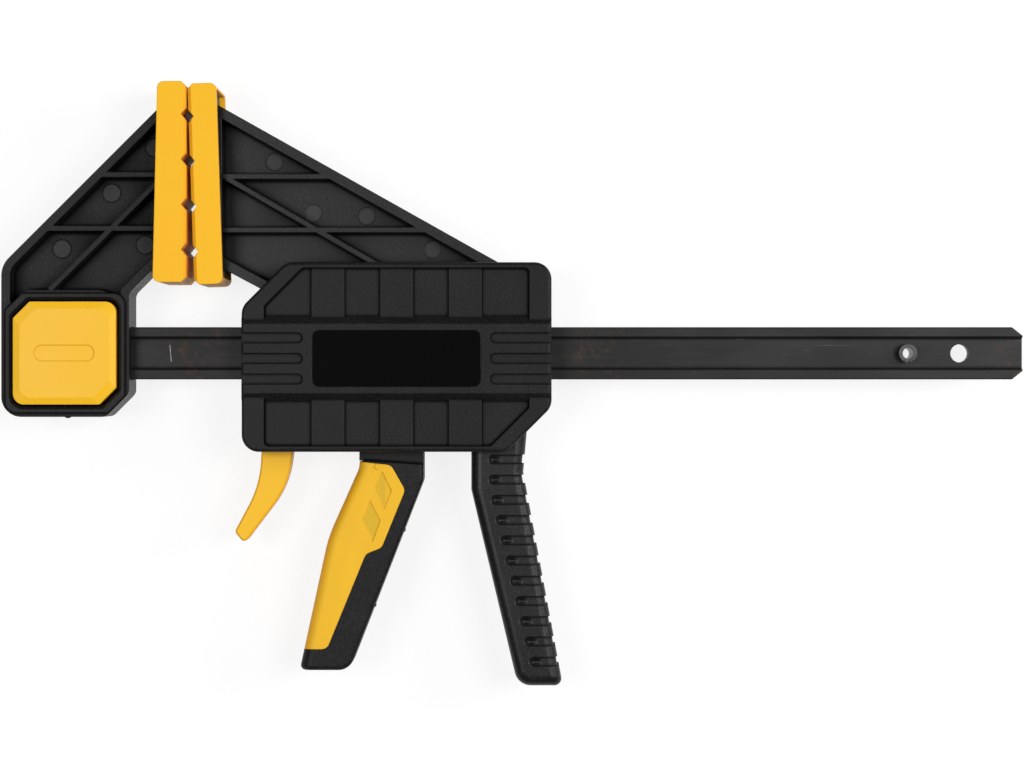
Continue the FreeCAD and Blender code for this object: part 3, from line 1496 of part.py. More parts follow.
def trigger_front_grip():
    """The soft sleeve on the trigger's front edge and cheeks."""
    body = new_body("trigger_front_grip")
    rounded_lever(body, "grip", S.front_grip_proud)
    fit = S.front_grip_fit
    around = new_sketch(body, "front_grip_surround_lines")
    far = S.trigger_length + S.overrun
    add_outline(around, rectangle(-far, far, -far, far))
    zone = soft_zone(S.overrun, ZERO)
    add_outline(around, [
        *((x, y - fit) for x, y, *_ in zone[:1]),
        *zone[1:4],
        *((x - fit, y, radius) for x, y, radius in zone[4:]),
    ])
    through(body, "front_grip_surround", around, S.trigger_thickness)
    hollow = new_sketch(body, "front_grip_hollow_lines")
    inner = trigger_front_edge(S.front_grip_thickness)
    right = S.trigger_back + S.overrun
    add_outline(hollow, [
        (inner[0][0], S.overrun - S.trigger_top_depth),
        *inner[1:],
        (right, -S.trigger_length),
        (right, S.overrun - S.trigger_top_depth),
    ])
    pocket(body, "front_grip_hollow", hollow, S.trigger_thickness - 2 * S.front_grip_thickness,
           both_ways=True)
    face = S.trigger_thickness / 2 + S.front_grip_proud
    for side, name in ((1, "front"), (-1, "rear")):
        lines = new_sketch(body, f"{name}_rhomb_lines", along=side * face)
        for rhomb in RHOMB_SHARES:
            add_outline(lines, [trigger_box(across, down) for across, down in rhomb])
        pocket(body, f"{name}_rhombs", lines, S.rhomb_depth, reverse=side < 0)
    return node(body)


def trigger_pivot_pin():
    body = new_body("trigger_pivot_pin")
    x, y = trigger_pivot()
    circle = new_sketch(body, "trigger_pin_circle")
    add_circle(circle, x, y, S.trigger_pin_radius)
    pad(body, "trigger_pin", circle, 2 * S.trigger_pin_half_length, both_ways=True)
    return node(body)


# Release lever

def release_lever():
    """The short lever in front of the trigger, with the lobe that pushes the brake plates."""
    body = new_body("release_lever")
    x, y = release_pivot()
    eye = S.release_eye_radius
    lines = new_sketch(body, "release_lever_lines")
    add_outline(lines, [
        (x - eye, y + eye, eye * EYE_ROUND_SHARE),
        (-S.release_front, -S.release_lobe_depth, S.release_edge_radius),
        (-S.release_knee_front, -S.release_knee_front_depth, S.release_knee_front_radius),
        (-S.release_tip_front, -S.release_tip_front_depth, S.release_tip_radius),
        (-S.release_tip_back, -S.release_tip_depth, S.release_tip_radius),
        (-S.release_knee_back, -S.release_knee_back_depth, S.release_knee_back_radius),
        (-S.release_back, -S.release_lobe_depth - 2 * eye),
        (-S.release_lobe_reach, -S.release_lobe_depth, S.release_lobe_radius),
        (x + eye, y + eye, eye * EYE_ROUND_SHARE),
    ])
    pad(body, "release_lever_slab", lines, S.release_thickness, both_ways=True)
    dress("Chamfer", body, "release_lever_edges", S.release_bevel,
          lambda edge: on_faces(edge, S.release_thickness / 2))
    bore = new_sketch(body, "release_bore_circle")
    add_circle(bore, x, y, S.release_pin_radius + S.trigger_pin_fit)
    through(body, "release_bore", bore, S.release_thickness)
    return node(body)


def release_pivot_pin():
    body = new_body("release_pivot_pin")
    x, y = release_pivot()
    circle = new_sketch(body, "release_pin_circle")
    add_circle(circle, x, y, S.release_pin_radius)
    pad(body, "release_pin", circle, 2 * S.release_pin_half_length, both_ways=True)
    return node(body)


# Plates and springs

def plate_window():
    """Half height and half width of the window through which a plate grips the bar."""
    return S.bar_height / 2 + S.plate_window_fit, S.bar_thickness / 2 + S.plate_side_fit


def drive_plate(label, left):
    body = new_body(label)
    lines = new_sketch(body, label + "_lines", "YZ_Plane", along=left)
    high = S.drive_plate_height / 2
    side = S.drive_plate_width / 2
    add_outline(lines, rectangle(-high, high, -side, side, S.plate_corner_radius))
    window_high, window_side = plate_window()
    add_outline(lines, rectangle(-window_high, window_high, -window_side, window_side))
    pad(body, label + "_plate", lines, S.drive_plate_thickness)
    return node(body)


def drive_plates():
    drive_plate("drive_plate_1", S.drive_plate_place)
    drive_plate("drive_plate_2", S.drive_plate_place + S.drive_plate_thickness + S.plate_gap)


def brake_pack():
    """Thickness of both brake plates with the gap between them."""
    return 2 * S.brake_plate_thickness + S.plate_gap


def brake_plate(label, offset):
    """A plate drawn upright about its hinge, then leant by the brake's tilt."""
    body = document.addObject("PartDesign::Body", label)
    lines = new_sketch(body, label + "_lines", "YZ_Plane", along=offset)
    side = S.brake_plate_width / 2
    add_outline(lines, rectangle(-S.brake_plate_reach, S.brake_plate_top, -side, side,
                                 S.plate_corner_radius / 2))
    window_high, window_side = plate_window()
    middle = -S.brake_hinge_height
    add_outline(lines, rectangle(middle - window_high, middle + window_high, -window_side, window_side))
    pad(body, label + "_plate", lines, S.brake_plate_thickness)
    body.Placement = FreeCAD.Placement(FreeCAD.Vector(), FreeCAD.Vector(0, 0, -1), S.brake_tilt.value)
    body.setExpression("Placement.Rotation.Angle", S.brake_tilt.text)
    body.setExpression("Placement.Base.x", (-S.brake_hinge_left).text)
    body.setExpression("Placement.Base.y", S.brake_hinge_height.text)
    body.setExpression("Placement.Base.z", BAND_LEVEL.text)
    return node(body)


def brake_plates():
    brake_plate("brake_plate_1", -(brake_pack() / 2))
    brake_plate("brake_plate_2", S.plate_gap / 2)


def drive_spring():
    """The spring round the bar that brings the drive plates and the trigger back."""
    body = new_body("drive_spring")
    wire = S.drive_spring_wire
    start = (S.drive_plate_place + 2 * S.drive_plate_thickness + S.plate_gap + S.spring_gap
             + wire / 2)
    end = S.cover_width / 2 - S.housing_inset - S.housing_wall - S.spring_gap - wire / 2
    coil(body, "drive_coil", {}, (start, S.drive_spring_radius), wire, S.drive_spring_pitch,
         end - start, "H_Axis")
    return node(body)


def brake_spring():
    """The small spring below the bar that leans the brake plates."""
    body = new_body("brake_spring")
    wire = S.brake_spring_wire
    drop = S.brake_spring_depth + S.brake_hinge_height
    start = (brake_pack() / 2 - S.brake_hinge_left - drop * tangent(S.brake_tilt)
             + S.brake_spring_radius * tangent(S.brake_tilt) + S.spring_gap + wire)
    end = -S.housing_rib_place - S.spring_gap / 2 - wire / 2
    coil(body, "brake_coil", {"up": -S.brake_spring_depth}, (start, S.brake_spring_radius), wire,
         S.brake_spring_pitch, end - start, "H_Axis")
    return node(body)


def build():
    steel_bar()
    stop_roll_pin()
    fixed_jaw()
    fixed_jaw_pad()
    jaw_release_button()
    latch_pin()
    latch_retaining_ring()
    latch_spring()
    sliding_jaw_frame()
    sliding_jaw_pad()
    front_cover()
    rear_cover()
    front_label()
    cover_screws()
    trigger_core()
    trigger_front_grip()
    trigger_pivot_pin()
    release_lever()
    release_pivot_pin()
    drive_plates()
    brake_plates()
    drive_spring()
    brake_spring()
    document.recompute()


def export():
    """Checks every object and each piece's solid, then writes one file for each piece."""
    faulty = [item.Name for item in document.Objects if {"Invalid", "Error"} & set(item.State)]
    if faulty:
        raise RuntimeError(f"failed objects: {', '.join(faulty)}")
    for piece in NODES:
        if piece.Shape.isNull() or not piece.Shape.isValid():
            raise RuntimeError(f"bad shape: {piece.Label}")
    os.makedirs("parts", exist_ok=True)
    for piece in NODES:
        piece.Shape.exportStep(os.path.join("parts", piece.Label + ".step"))


build()
export()
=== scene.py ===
import logging
import math
from dataclasses import dataclass
from enum import Enum

import bmesh
import bpy
from mathutils import Matrix, Vector


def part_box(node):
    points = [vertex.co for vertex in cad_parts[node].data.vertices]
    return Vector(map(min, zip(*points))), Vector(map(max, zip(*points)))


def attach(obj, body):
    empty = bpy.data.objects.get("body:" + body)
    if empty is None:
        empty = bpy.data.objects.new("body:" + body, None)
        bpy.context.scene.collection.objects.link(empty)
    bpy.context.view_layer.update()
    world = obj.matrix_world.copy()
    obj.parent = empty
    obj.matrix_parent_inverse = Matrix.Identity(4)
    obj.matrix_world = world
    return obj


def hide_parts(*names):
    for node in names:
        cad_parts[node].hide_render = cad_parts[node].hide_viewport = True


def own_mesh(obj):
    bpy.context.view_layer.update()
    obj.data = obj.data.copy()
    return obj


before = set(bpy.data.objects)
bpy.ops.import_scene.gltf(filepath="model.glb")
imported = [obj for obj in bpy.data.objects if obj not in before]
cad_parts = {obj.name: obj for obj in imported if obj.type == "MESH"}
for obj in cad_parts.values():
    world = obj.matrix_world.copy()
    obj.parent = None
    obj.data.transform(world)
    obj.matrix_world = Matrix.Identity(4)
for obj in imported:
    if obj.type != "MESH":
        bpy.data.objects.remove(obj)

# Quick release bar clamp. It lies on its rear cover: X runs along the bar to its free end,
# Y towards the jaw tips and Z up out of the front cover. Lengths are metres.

LOG = logging.getLogger("clamp")
Colour = tuple[float, float, float]
Span = tuple[float, float]

# Heights: the middle plane of the clamp, and the ejector marks beside the face of the webs
MIDDLE = 0.022
HALF_WEB = 0.0020
MARK_STEP = 0.0003
MARK_TOP = MIDDLE + HALF_WEB + MARK_STEP
MARK_FLOOR = MIDDLE + HALF_WEB - MARK_STEP

# The middle of a noise or a mask
HALF = 0.5


class Body(Enum):
    """The moving groups that the new pieces ride on."""

    BAR = "bar_assembly"
    HEAD = "sliding_head"
    TRIGGER = "trigger"


class Slot(Enum):
    """The record's material slots by name; nothing here hands them to the new pieces."""

    NYLON = "black_nylon"
    PAD = "yellow_pad"
    PLATED = "bright_steel"
    WIRE = "spring_steel"


# Shader tools

EDGE_SAMPLES = 6
HOLLOW_SAMPLES = 8
FIRST_TINT, SECOND_TINT, MIXED_TINT = 6, 7, 2


@dataclass(frozen=True)
class Pattern:
    """A noise: features per metre, octaves, their strength, stretch and turn in degrees."""

    scale: float
    detail: float
    rough: float
    stretch: Colour = (1.0, 1.0, 1.0)
    turn: float = 0.0


class Value:
    """A number that varies over the surface: arithmetic on it adds Math nodes."""

    def __init__(self, shader: "Shader", socket: bpy.types.NodeSocket) -> None:
        """Wraps a socket.

        Args:
            shader: The shader that the socket belongs to.
            socket: The output socket to wrap.
        """
        self.shader = shader
        self.socket = socket

    def _math(self, operation: str, first: "Value | float", second: "Value | float") -> "Value":
        """Adds one Math node.

        Args:
            operation: The node's operation.
            first: Its first operand.
            second: Its second operand.

        Returns:
            The result.
        """
        node = self.shader.node("ShaderNodeMath", {"operation": operation}, {0: first, 1: second})
        return Value(self.shader, node.outputs[0])

    def __add__(self, other: "Value | float") -> "Value":
        """Adds."""
        return self._math("ADD", self, other)

    __radd__ = __add__

    def __mul__(self, other: "Value | float") -> "Value":
        """Multiplies."""
        return self._math("MULTIPLY", self, other)

    __rmul__ = __mul__

    def __sub__(self, other: "Value | float") -> "Value":
        """Subtracts."""
        return self._math("SUBTRACT", self, other)

    def __rsub__(self, other: "Value | float") -> "Value":
        """Subtracts this value from another."""
        return self._math("SUBTRACT", other, self)

    def __pow__(self, other: "Value | float") -> "Value":
        """Raises to a power."""
        return self._math("POWER", self, other)

    def __gt__(self, other: "Value | float") -> "Value":
        """Is 1 where this value is greater."""
        return self._math("GREATER_THAN", self, other)

    def __lt__(self, other: "Value | float") -> "Value":
        """Is 1 where this value is less."""
        return self._math("LESS_THAN", self, other)

    def __abs__(self) -> "Value":
        """Drops the sign."""
        return self._math("ABSOLUTE", self, 0.0)

    def step(self, low: float, high: float) -> "Value":
        """Rises smoothly from 0 to 1.

        Args:
            low: Where the rise starts.
            high: Where it ends.

        Returns:
            The smooth step.
        """
        node = self.shader.node("ShaderNodeMapRange", {"interpolation_type": "SMOOTHSTEP"},
                                {"Value": self, "From Min": low, "From Max": high})
        return Value(self.shader, node.outputs["Result"])


class Shader:
    """The nodes of one material."""

    def __init__(self, name: str) -> None:
        """Starts an empty material.

        Args:
            name: The material's name.
        """
        self.material = bpy.data.materials.new(name)
        self.material.use_nodes = True
        self.tree = self.material.node_tree
        self.tree.nodes.clear()
        self.object_place = self.node("ShaderNodeTexCoord", {}, {}).outputs["Object"]

    def node(self, kind: str, settings: dict, sockets: dict) -> bpy.types.Node:
        """Adds a node.

        Args:
            kind: The node's type.
            settings: Its settings, set first.
            sockets: A value or a link for each socket, by name or number.

        Returns:
            The node.
        """
        node = self.tree.nodes.new(kind)
        for key, value in settings.items():
            setattr(node, key, value)
        for key, value in sockets.items():
            source = value.socket if isinstance(value, Value) else value
            if isinstance(source, bpy.types.NodeSocket):
                self.tree.links.new(source, node.inputs[key])
            else:
                node.inputs[key].default_value = source
        return node

    def noise(self, pattern: Pattern) -> Value:
        """Adds a noise in object space.

        Args:
            pattern: Its pattern.

        Returns:
            The noise, from 0 to 1.
        """
        place = self.node("ShaderNodeMapping", {}, {
            "Vector": self.object_place,
            "Rotation": (0.0, 0.0, math.radians(pattern.turn)),
            "Scale": pattern.stretch,
        }).outputs[0]
        node = self.node("ShaderNodeTexNoise", {}, {
            "Vector": place, "Scale": pattern.scale, "Detail": pattern.detail,
            "Roughness": pattern.rough})
        return Value(self, node.outputs[0])

    def place(self, axis: str) -> Value:
        """Gives the place along an axis, in metres.

        Args:
            axis: X, Y or Z.

        Returns:
            The coordinate.
        """
        node = self.node("ShaderNodeSeparateXYZ", {}, {0: self.object_place})
        return Value(self, node.outputs[axis])

    def spots(self, places: tuple[tuple[float, float], ...], radius: float, rim: float,
              stretch: float) -> Value:
        """Marks round or oval spots, seen along Z.

        Args:
            places: The middles, as X and Y in metres.
            radius: Half their height along Y.
            rim: How wide their soft rim is.
            stretch: Their width along X, as a share of their height.

        Returns:
            A mask that is 1 in the spots.
        """
        along, across = self.place("X"), self.place("Y")
        mask = 0.0
        for x, y in places:
            aside, apart = (along - x) * (1.0 / stretch), across - y
            gap = (aside * aside + apart * apart) ** HALF
            mask = (1.0 - gap.step(radius - rim, radius)) + mask
        return mask

    def tilt(self) -> Value:
        """Tells how far a face turns away from the front and rear, from 0 to 1.

        Returns:
            One less the normal's share along Z.
        """
        geometry = self.node("ShaderNodeNewGeometry", {}, {})
        node = self.node("ShaderNodeSeparateXYZ", {}, {0: geometry.outputs["Normal"]})
        return 1.0 - abs(Value(self, node.outputs["Z"]))

    def rounded(self, radius: float) -> bpy.types.NodeSocket:
        """Rounds the sharp edges' shading.

        Args:
            radius: The round's radius.

        Returns:
            The rounded normal.
        """
        node = self.node("ShaderNodeBevel", {"samples": EDGE_SAMPLES}, {"Radius": radius})
        return node.outputs[0]

    def rims(self, radius: float) -> Value:
        """Finds the edges.

        Args:
            radius: How far the mask reaches from an edge.

        Returns:
            A mask that is 1 at sharp edges.
        """
        geometry = self.node("ShaderNodeNewGeometry", {}, {})
        dot = self.node("ShaderNodeVectorMath", {"operation": "DOT_PRODUCT"},
                        {0: self.rounded(radius), 1: geometry.outputs["Normal"]})
        return 1.0 - Value(self, dot.outputs["Value"])

    def hollows(self, reach: float) -> Value:
        """Finds the creases and narrow hollows by ambient occlusion, where the finishes paint
        shade.

        Args:
            reach: How far the mask reaches from a wall.

        Returns:
            A mask that is 0 on open faces and nears 1 where walls close in.
        """
        node = self.node("ShaderNodeAmbientOcclusion",
                         {"samples": HOLLOW_SAMPLES, "only_local": True}, {"Distance": reach})
        return 1.0 - Value(self, node.outputs["AO"])

    def blend(self, share: "Value | float", first: "Colour | bpy.types.NodeSocket",
              second: "Colour | bpy.types.NodeSocket") -> bpy.types.NodeSocket:
        """Mixes two colours.

        Args:
            share: How much of the second colour shows.
            first: The first colour.
            second: The second colour.

        Returns:
            The mixed colour.
        """
        tints = [tint if isinstance(tint, bpy.types.NodeSocket) else (*tint, 1.0)
                 for tint in (first, second)]
        node = self.node("ShaderNodeMix", {"data_type": "RGBA"},
                         {0: share, FIRST_TINT: tints[0], SECOND_TINT: tints[1]})
        return node.outputs[MIXED_TINT]

    def bump(self, height: Value, distance: float, strength: float,
             normal: bpy.types.NodeSocket) -> bpy.types.NodeSocket:
        """Adds relief.

        Args:
            height: The relief's height.
            distance: The height of a full step, in metres.
            strength: The strength of the effect.
            normal: The normal that carries the relief.

        Returns:
            The bumped normal.
        """
        return self.node("ShaderNodeBump", {}, {
            "Height": height, "Distance": distance, "Strength": strength, "Normal": normal,
        }).outputs[0]

    def finish(self, sockets: dict) -> bpy.types.Material:
        """Closes the material with a Principled shader.

        Args:
            sockets: Its sockets' values or links.

        Returns:
            The material.
        """
        surface = self.node("ShaderNodeBsdfPrincipled", {}, sockets)
        self.node("ShaderNodeOutputMaterial", {}, {"Surface": surface.outputs[0]})
        return self.material


# Finishes

@dataclass(frozen=True)
class Nylon:
    """Black glass-filled nylon with a fine eroded grain, painted shade in its creases, pockets and
    groove ends, and edges lighter grey, partly rubbed wear and partly painted highlight.
    """

    tint: Colour = (0.0060, 0.0060, 0.0063)
    dusty: Colour = (0.0155, 0.0155, 0.0159)
    rubbed: Colour = (0.052, 0.052, 0.054)
    painted_shade: Colour = (0.0006, 0.0006, 0.0007)
    cloud: Pattern = Pattern(38.0, 4.0, 0.6)
    cloud_span: Span = (0.32, 0.72)
    cloud_lift: float = 0.5
    grain: Pattern = Pattern(1200.0, 3.0, 0.6)
    grain_lift: float = 5.0
    scuff: Pattern = Pattern(160.0, 5.0, 0.7, (1.0, 0.3, 1.0), -28.0)
    scuff_span: Span = (0.62, 0.8)
    scuff_lift: float = 0.35
    fibre: Pattern = Pattern(900.0, 2.0, 0.5, (1.0, 0.25, 1.0), 35.0)
    edge_radius: float = 0.0005
    rim_reach: float = 0.00065
    rim_span: Span = (0.03, 0.30)
    patch_span: Span = (0.3, 0.7)
    patch_share: float = 0.5
    rub_share: float = 0.35
    rubbed_share: float = 0.55
    crease_reach: float = 0.0018
    crease_span: Span = (0.03, 0.28)
    pocket_reach: float = 0.011
    pocket_span: Span = (0.15, 0.75)
    pocket_shade_share: float = 0.6
    mark_level: float = 0.0
    mark_depth: float = 0.00015
    mark_share: float = 0.45
    scoops: tuple[tuple[float, float], ...] = ()
    scoop_reach: float = 0.0024
    scoop_stretch: float = 1.35
    scoop_shade_span: Span = (0.15, 0.7)
    scoop_shade_share: float = 0.9
    scoop_depth: float = 0.0008
    gloss: float = 0.15
    roughness: float = 0.46
    cloud_roughness: float = 0.12
    grain_roughness: float = 0.6
    crease_roughness: float = 0.4
    pocket_roughness: float = 0.2
    rubbed_polish: float = 0.08
    grain_height: float = 0.00013
    grain_relief: float = 0.7
    fibre_relief: float = 0.3
    relief_strength: float = 0.7

    def paint(self, name: str) -> bpy.types.Material:
        """Makes the material.

        Args:
            name: The material's name.

        Returns:
            The material.
        """
        shader = Shader(name)
        cloud = shader.noise(self.cloud)
        grain = shader.noise(self.grain)
        creases = shader.hollows(self.crease_reach).step(*self.crease_span)
        pocket_shade = shader.hollows(self.pocket_reach).step(*self.pocket_span)
        lift = (cloud.step(*self.cloud_span) * self.cloud_lift + (grain - HALF) * self.grain_lift
                + shader.noise(self.scuff).step(*self.scuff_span) * self.scuff_lift)
        patches = cloud.step(*self.patch_span) * self.patch_share + self.rub_share
        # edges painted lighter grey: partly rubbed wear, partly painted highlight
        rubbed = shader.rims(self.rim_reach).step(*self.rim_span) * patches * (1.0 - creases)
        tint = shader.blend(lift, self.tint, self.dusty)
        tint = shader.blend(rubbed * self.rubbed_share, tint, self.rubbed)
        # painted shade: deep pockets are darkened toward near black
        tint = shader.blend(pocket_shade * self.pocket_shade_share, tint, self.painted_shade)
        # painted shade: the creases are darkened to near black
        tint = shader.blend(creases, tint, self.painted_shade)
        normal = shader.rounded(self.edge_radius)
        # the ejector marks are painted a lighter grey
        if self.mark_level:
            mark = abs(shader.place("Z") - self.mark_level) < self.mark_depth
            tint = shader.blend(mark * self.mark_share, tint, self.rubbed)
        if self.scoops:
            scoop = shader.spots(self.scoops, self.scoop_reach, self.scoop_reach,
                                 self.scoop_stretch)
            # painted shade: the grooves' scooped left ends are darkened, and their normals are
            # bumped
            tint = shader.blend(scoop.step(*self.scoop_shade_span) * self.scoop_shade_share, tint, self.painted_shade)
            normal = shader.bump(1.0 - scoop, self.scoop_depth, 1.0, normal)
        relief = grain * self.grain_relief + shader.noise(self.fibre) * self.fibre_relief
        return shader.finish({
            "Base Color": tint,
            "Roughness": (cloud - HALF) * self.cloud_roughness
            + (grain - HALF) * self.grain_roughness + creases * self.crease_roughness
            + pocket_shade * self.pocket_roughness - rubbed * self.rubbed_polish + self.roughness,
            "Specular IOR Level": self.gloss,
            "Normal": shader.bump(relief, self.grain_height, self.relief_strength, normal),
        })


@dataclass(frozen=True)
class YellowMoulding:
    """Yellow plastic: a soft matt grade for the pads and a satin one for the hard levers, with
    painted deeper orange shade on its sides and edges and painted shade in its hollows.
    """

    tint: Colour = (0.886, 0.457, 0.004)
    painted_side_shade: Colour = (0.82, 0.32, 0.002)
    pale: Colour = (0.875, 0.49, 0.010)
    pressed: Colour = (0.66, 0.400, 0.014)
    shade: Colour = (0.52, 0.21, 0.010)
    smudged: Colour = (0.45, 0.24, 0.03)
    cloud: Pattern = Pattern(45.0, 3.0, 0.55)
    cloud_span: Span = (0.35, 0.75)
    pale_share: float = 0.45
    grain: Pattern = Pattern(1300.0, 3.0, 0.6)
    smudge: Pattern = Pattern(120.0, 4.0, 0.65, (1.0, 0.5, 1.0), 20.0)
    smudge_span: Span = (0.66, 0.85)
    smudge_share: float = 0.12
    side_shade_span: Span = (0.02, 0.55)
    side_shade_share: float = 0.6
    edge_radius: float = 0.0006
    rim_reach: float = 0.00084
    rim_span: Span = (0.02, 0.25)
    rim_share: float = 0.3
    pressed_depth: float = 0.0
    pressed_margin: float = 0.00005
    level_tilt: float = 0.002
    shade_reach: float = 0.0030
    shade_span: Span = (0.10, 0.55)
    shade_share: float = 0.5
    gloss: float = 0.25
    roughness: float = 0.55
    cloud_roughness: float = 0.14
    grain_roughness: float = 0.12
    sheen: float = 0.0
    sheen_roughness: float = 0.6
    grain_height: float = 0.00004
    relief_strength: float = 0.5

    def paint(self, name: str) -> bpy.types.Material:
        """Makes the material.

        Args:
            name: The material's name.

        Returns:
            The material.
        """
        shader = Shader(name)
        cloud = shader.noise(self.cloud)
        grain = shader.noise(self.grain)
        smudge = shader.noise(self.smudge).step(*self.smudge_span)
        side_shade = shader.tilt().step(*self.side_shade_span)
        rims = shader.rims(self.rim_reach).step(*self.rim_span)
        hollows = shader.hollows(self.shade_reach).step(*self.shade_span)
        tint = shader.blend(cloud.step(*self.cloud_span) * self.pale_share, self.tint, self.pale)
        # painted shade: faces turned away from the front and rear, and the edges, go deeper orange
        tint = shader.blend(side_shade * self.side_shade_share + rims * self.rim_share, tint, self.painted_side_shade)
        tint = shader.blend(smudge * self.smudge_share, tint, self.smudged)
        if self.pressed_depth:
            gap = abs(abs(shader.place("Z") - MIDDLE) - self.pressed_depth)
            floor = (gap < self.pressed_margin) * (shader.tilt() < self.level_tilt)
            tint = shader.blend(floor, tint, self.pressed)
        tint = shader.blend(hollows * self.shade_share, tint, self.shade)
        return shader.finish({
            "Base Color": tint,
            "Roughness": (cloud - HALF) * self.cloud_roughness
            + (grain - HALF) * self.grain_roughness + self.roughness,
            "Specular IOR Level": self.gloss,
            "Sheen Weight": self.sheen,
            "Sheen Roughness": self.sheen_roughness,
            "Normal": shader.bump(grain, self.grain_height, self.relief_strength,
                                  shader.rounded(self.edge_radius)),
        })


@dataclass(frozen=True)
class OxideSteel:
    """Drawn bar with a black oxide, rubbed along its length, with a few scratches and rust, and
    painted shade in its recesses.
    """

    tint: Colour = (0.0115, 0.0113, 0.0111)
    rubbed: Colour = (0.029, 0.0284, 0.0275)
    bare: Colour = (0.42, 0.41, 0.40)
    rust: Colour = (0.095, 0.040, 0.018)
    recess: Colour = (0.003, 0.003, 0.003)
    streak: Pattern = Pattern(1.0, 4.0, 0.6, (22.0, 900.0, 900.0))
    streak_lift: float = 0.9
    haze: Pattern = Pattern(1.0, 3.0, 0.5, (28.0, 90.0, 90.0))
    haze_span: Span = (0.35, 0.7)
    haze_lift: float = 0.45
    scratch: Pattern = Pattern(1.0, 2.0, 0.5, (60.0, 2400.0, 2400.0), 6.0)
    scratch_span: Span = (0.70, 0.74)
    scratch_patch_span: Span = (0.45, 0.6)
    scratch_share: float = 0.3
    speck: Pattern = Pattern(1400.0, 3.0, 0.6)
    blot: Pattern = Pattern(210.0, 4.0, 0.65)
    blot_span: Span = (0.5, 0.72)
    rust_share: float = 0.35
    rust_core: float = 0.35
    rust_places: tuple[tuple[float, float], ...] = ((-0.087, 0.018), (0.086, 0.016),
                                                    (0.262, 0.010))
    free_end: float = 0.2689
    tip_reach: Span = (0.007, 0.002)
    tip_share: float = 0.6
    lower_edge: float = -0.0105
    lower_reach: float = 0.001
    lower_share: float = 0.4
    rim_reach: float = 0.0006
    rim_span: Span = (0.03, 0.25)
    patch_span: Span = (0.3, 0.6)
    patch_share: float = 0.5
    rub_share: float = 0.3
    edge_share: float = 0.4
    recess_shade_reach: float = 0.0020
    recess_shade_span: Span = (0.06, 0.34)
    gouge_place: float = -0.0981
    gouge_lean: float = 0.08
    gouge_half_width: float = 0.00012
    gouge_half_length: float = 0.0036
    gouge_span: Span = (0.25, 0.5)
    metallic: float = 0.12
    bare_metallic: float = 0.5
    gloss: float = 0.19
    roughness: float = 0.44
    streak_roughness: float = 0.25
    speck_roughness: float = 0.1
    recess_roughness: float = 0.3
    streak_relief: float = 0.6
    speck_relief: float = 0.4
    scratch_relief: float = 0.8
    relief_height: float = 0.00005
    relief_strength: float = 0.45
    edge_radius: float = 0.0004

    def bright(self, shader: Shader, haze: Value, lines: Value) -> Value:
        """Finds the edges, the free end and the scratches, where the oxide is rubbed off.

        Args:
            shader: The bar's shader.
            haze: The bar's broad patches.
            lines: Its scratches.

        Returns:
            The share of bare steel.
        """
        far, close = self.tip_reach
        tip = shader.place("X").step(self.free_end - far, self.free_end - close)
        low = 1.0 - shader.place("Y").step(self.lower_edge, self.lower_edge + self.lower_reach)
        patches = haze.step(*self.patch_span) * self.patch_share + self.rub_share
        rims = shader.rims(self.rim_reach).step(*self.rim_span)
        edges = rims * (patches + low * self.lower_share)
        return edges * self.edge_share + lines * self.scratch_share + tip * edges * self.tip_share

    def gouge(self, shader: Shader, streak: Value) -> Value:
        """Marks the one scratch that runs across the bar's front.

        Args:
            shader: The bar's shader.
            streak: The bar's fine streaks, which break the scratch up.

        Returns:
            A mask that is 1 in the scratch.
        """
        across = shader.place("Y")
        skew = abs(shader.place("X") + across * self.gouge_lean - self.gouge_place)
        inside = (skew < self.gouge_half_width) * (abs(across) < self.gouge_half_length)
        return inside * (shader.place("Z") > MIDDLE) * streak.step(*self.gouge_span)

    def paint(self, name: str) -> bpy.types.Material:
        """Makes the material.

        Args:
            name: The material's name.

        Returns:
            The material.
        """
        shader = Shader(name)
        streak = shader.noise(self.streak)
        haze = shader.noise(self.haze)
        speck = shader.noise(self.speck)
        # recess marks where shade is painted, and where the roughness rises
        recess = shader.hollows(self.recess_shade_reach).step(*self.recess_shade_span)
        along = shader.place("X")
        near = 0.0
        for middle, reach in self.rust_places:
            near = (1.0 - abs(along - middle).step(reach * self.rust_core, reach)) + near
        rust = near * shader.noise(self.blot).step(*self.blot_span)
        lines = (shader.noise(self.scratch).step(*self.scratch_span)
                 * haze.step(*self.scratch_patch_span))
        bright = self.bright(shader, haze, lines)
        lift = haze.step(*self.haze_span) * self.haze_lift + (streak - HALF) * self.streak_lift
        tint = shader.blend(lift, self.tint, self.rubbed)
        tint = shader.blend(rust * self.rust_share, tint, self.rust)
        tint = shader.blend(bright, tint, self.bare)
        tint = shader.blend(self.gouge(shader, streak), tint, self.bare)
        # painted shade: the recesses are darkened to near black
        tint = shader.blend(recess, tint, self.recess)
        relief = (streak * self.streak_relief + speck * self.speck_relief
                  - lines * self.scratch_relief)
        return shader.finish({
            "Base Color": tint,
            "Metallic": bright * self.bare_metallic + self.metallic,
            "Roughness": (streak - HALF) * self.streak_roughness
            + (speck - HALF) * self.speck_roughness + recess * self.recess_roughness
            + self.roughness,
            "Specular IOR Level": self.gloss,
            "Normal": shader.bump(relief, self.relief_height, self.relief_strength,
                                  shader.rounded(self.edge_radius)),
        })


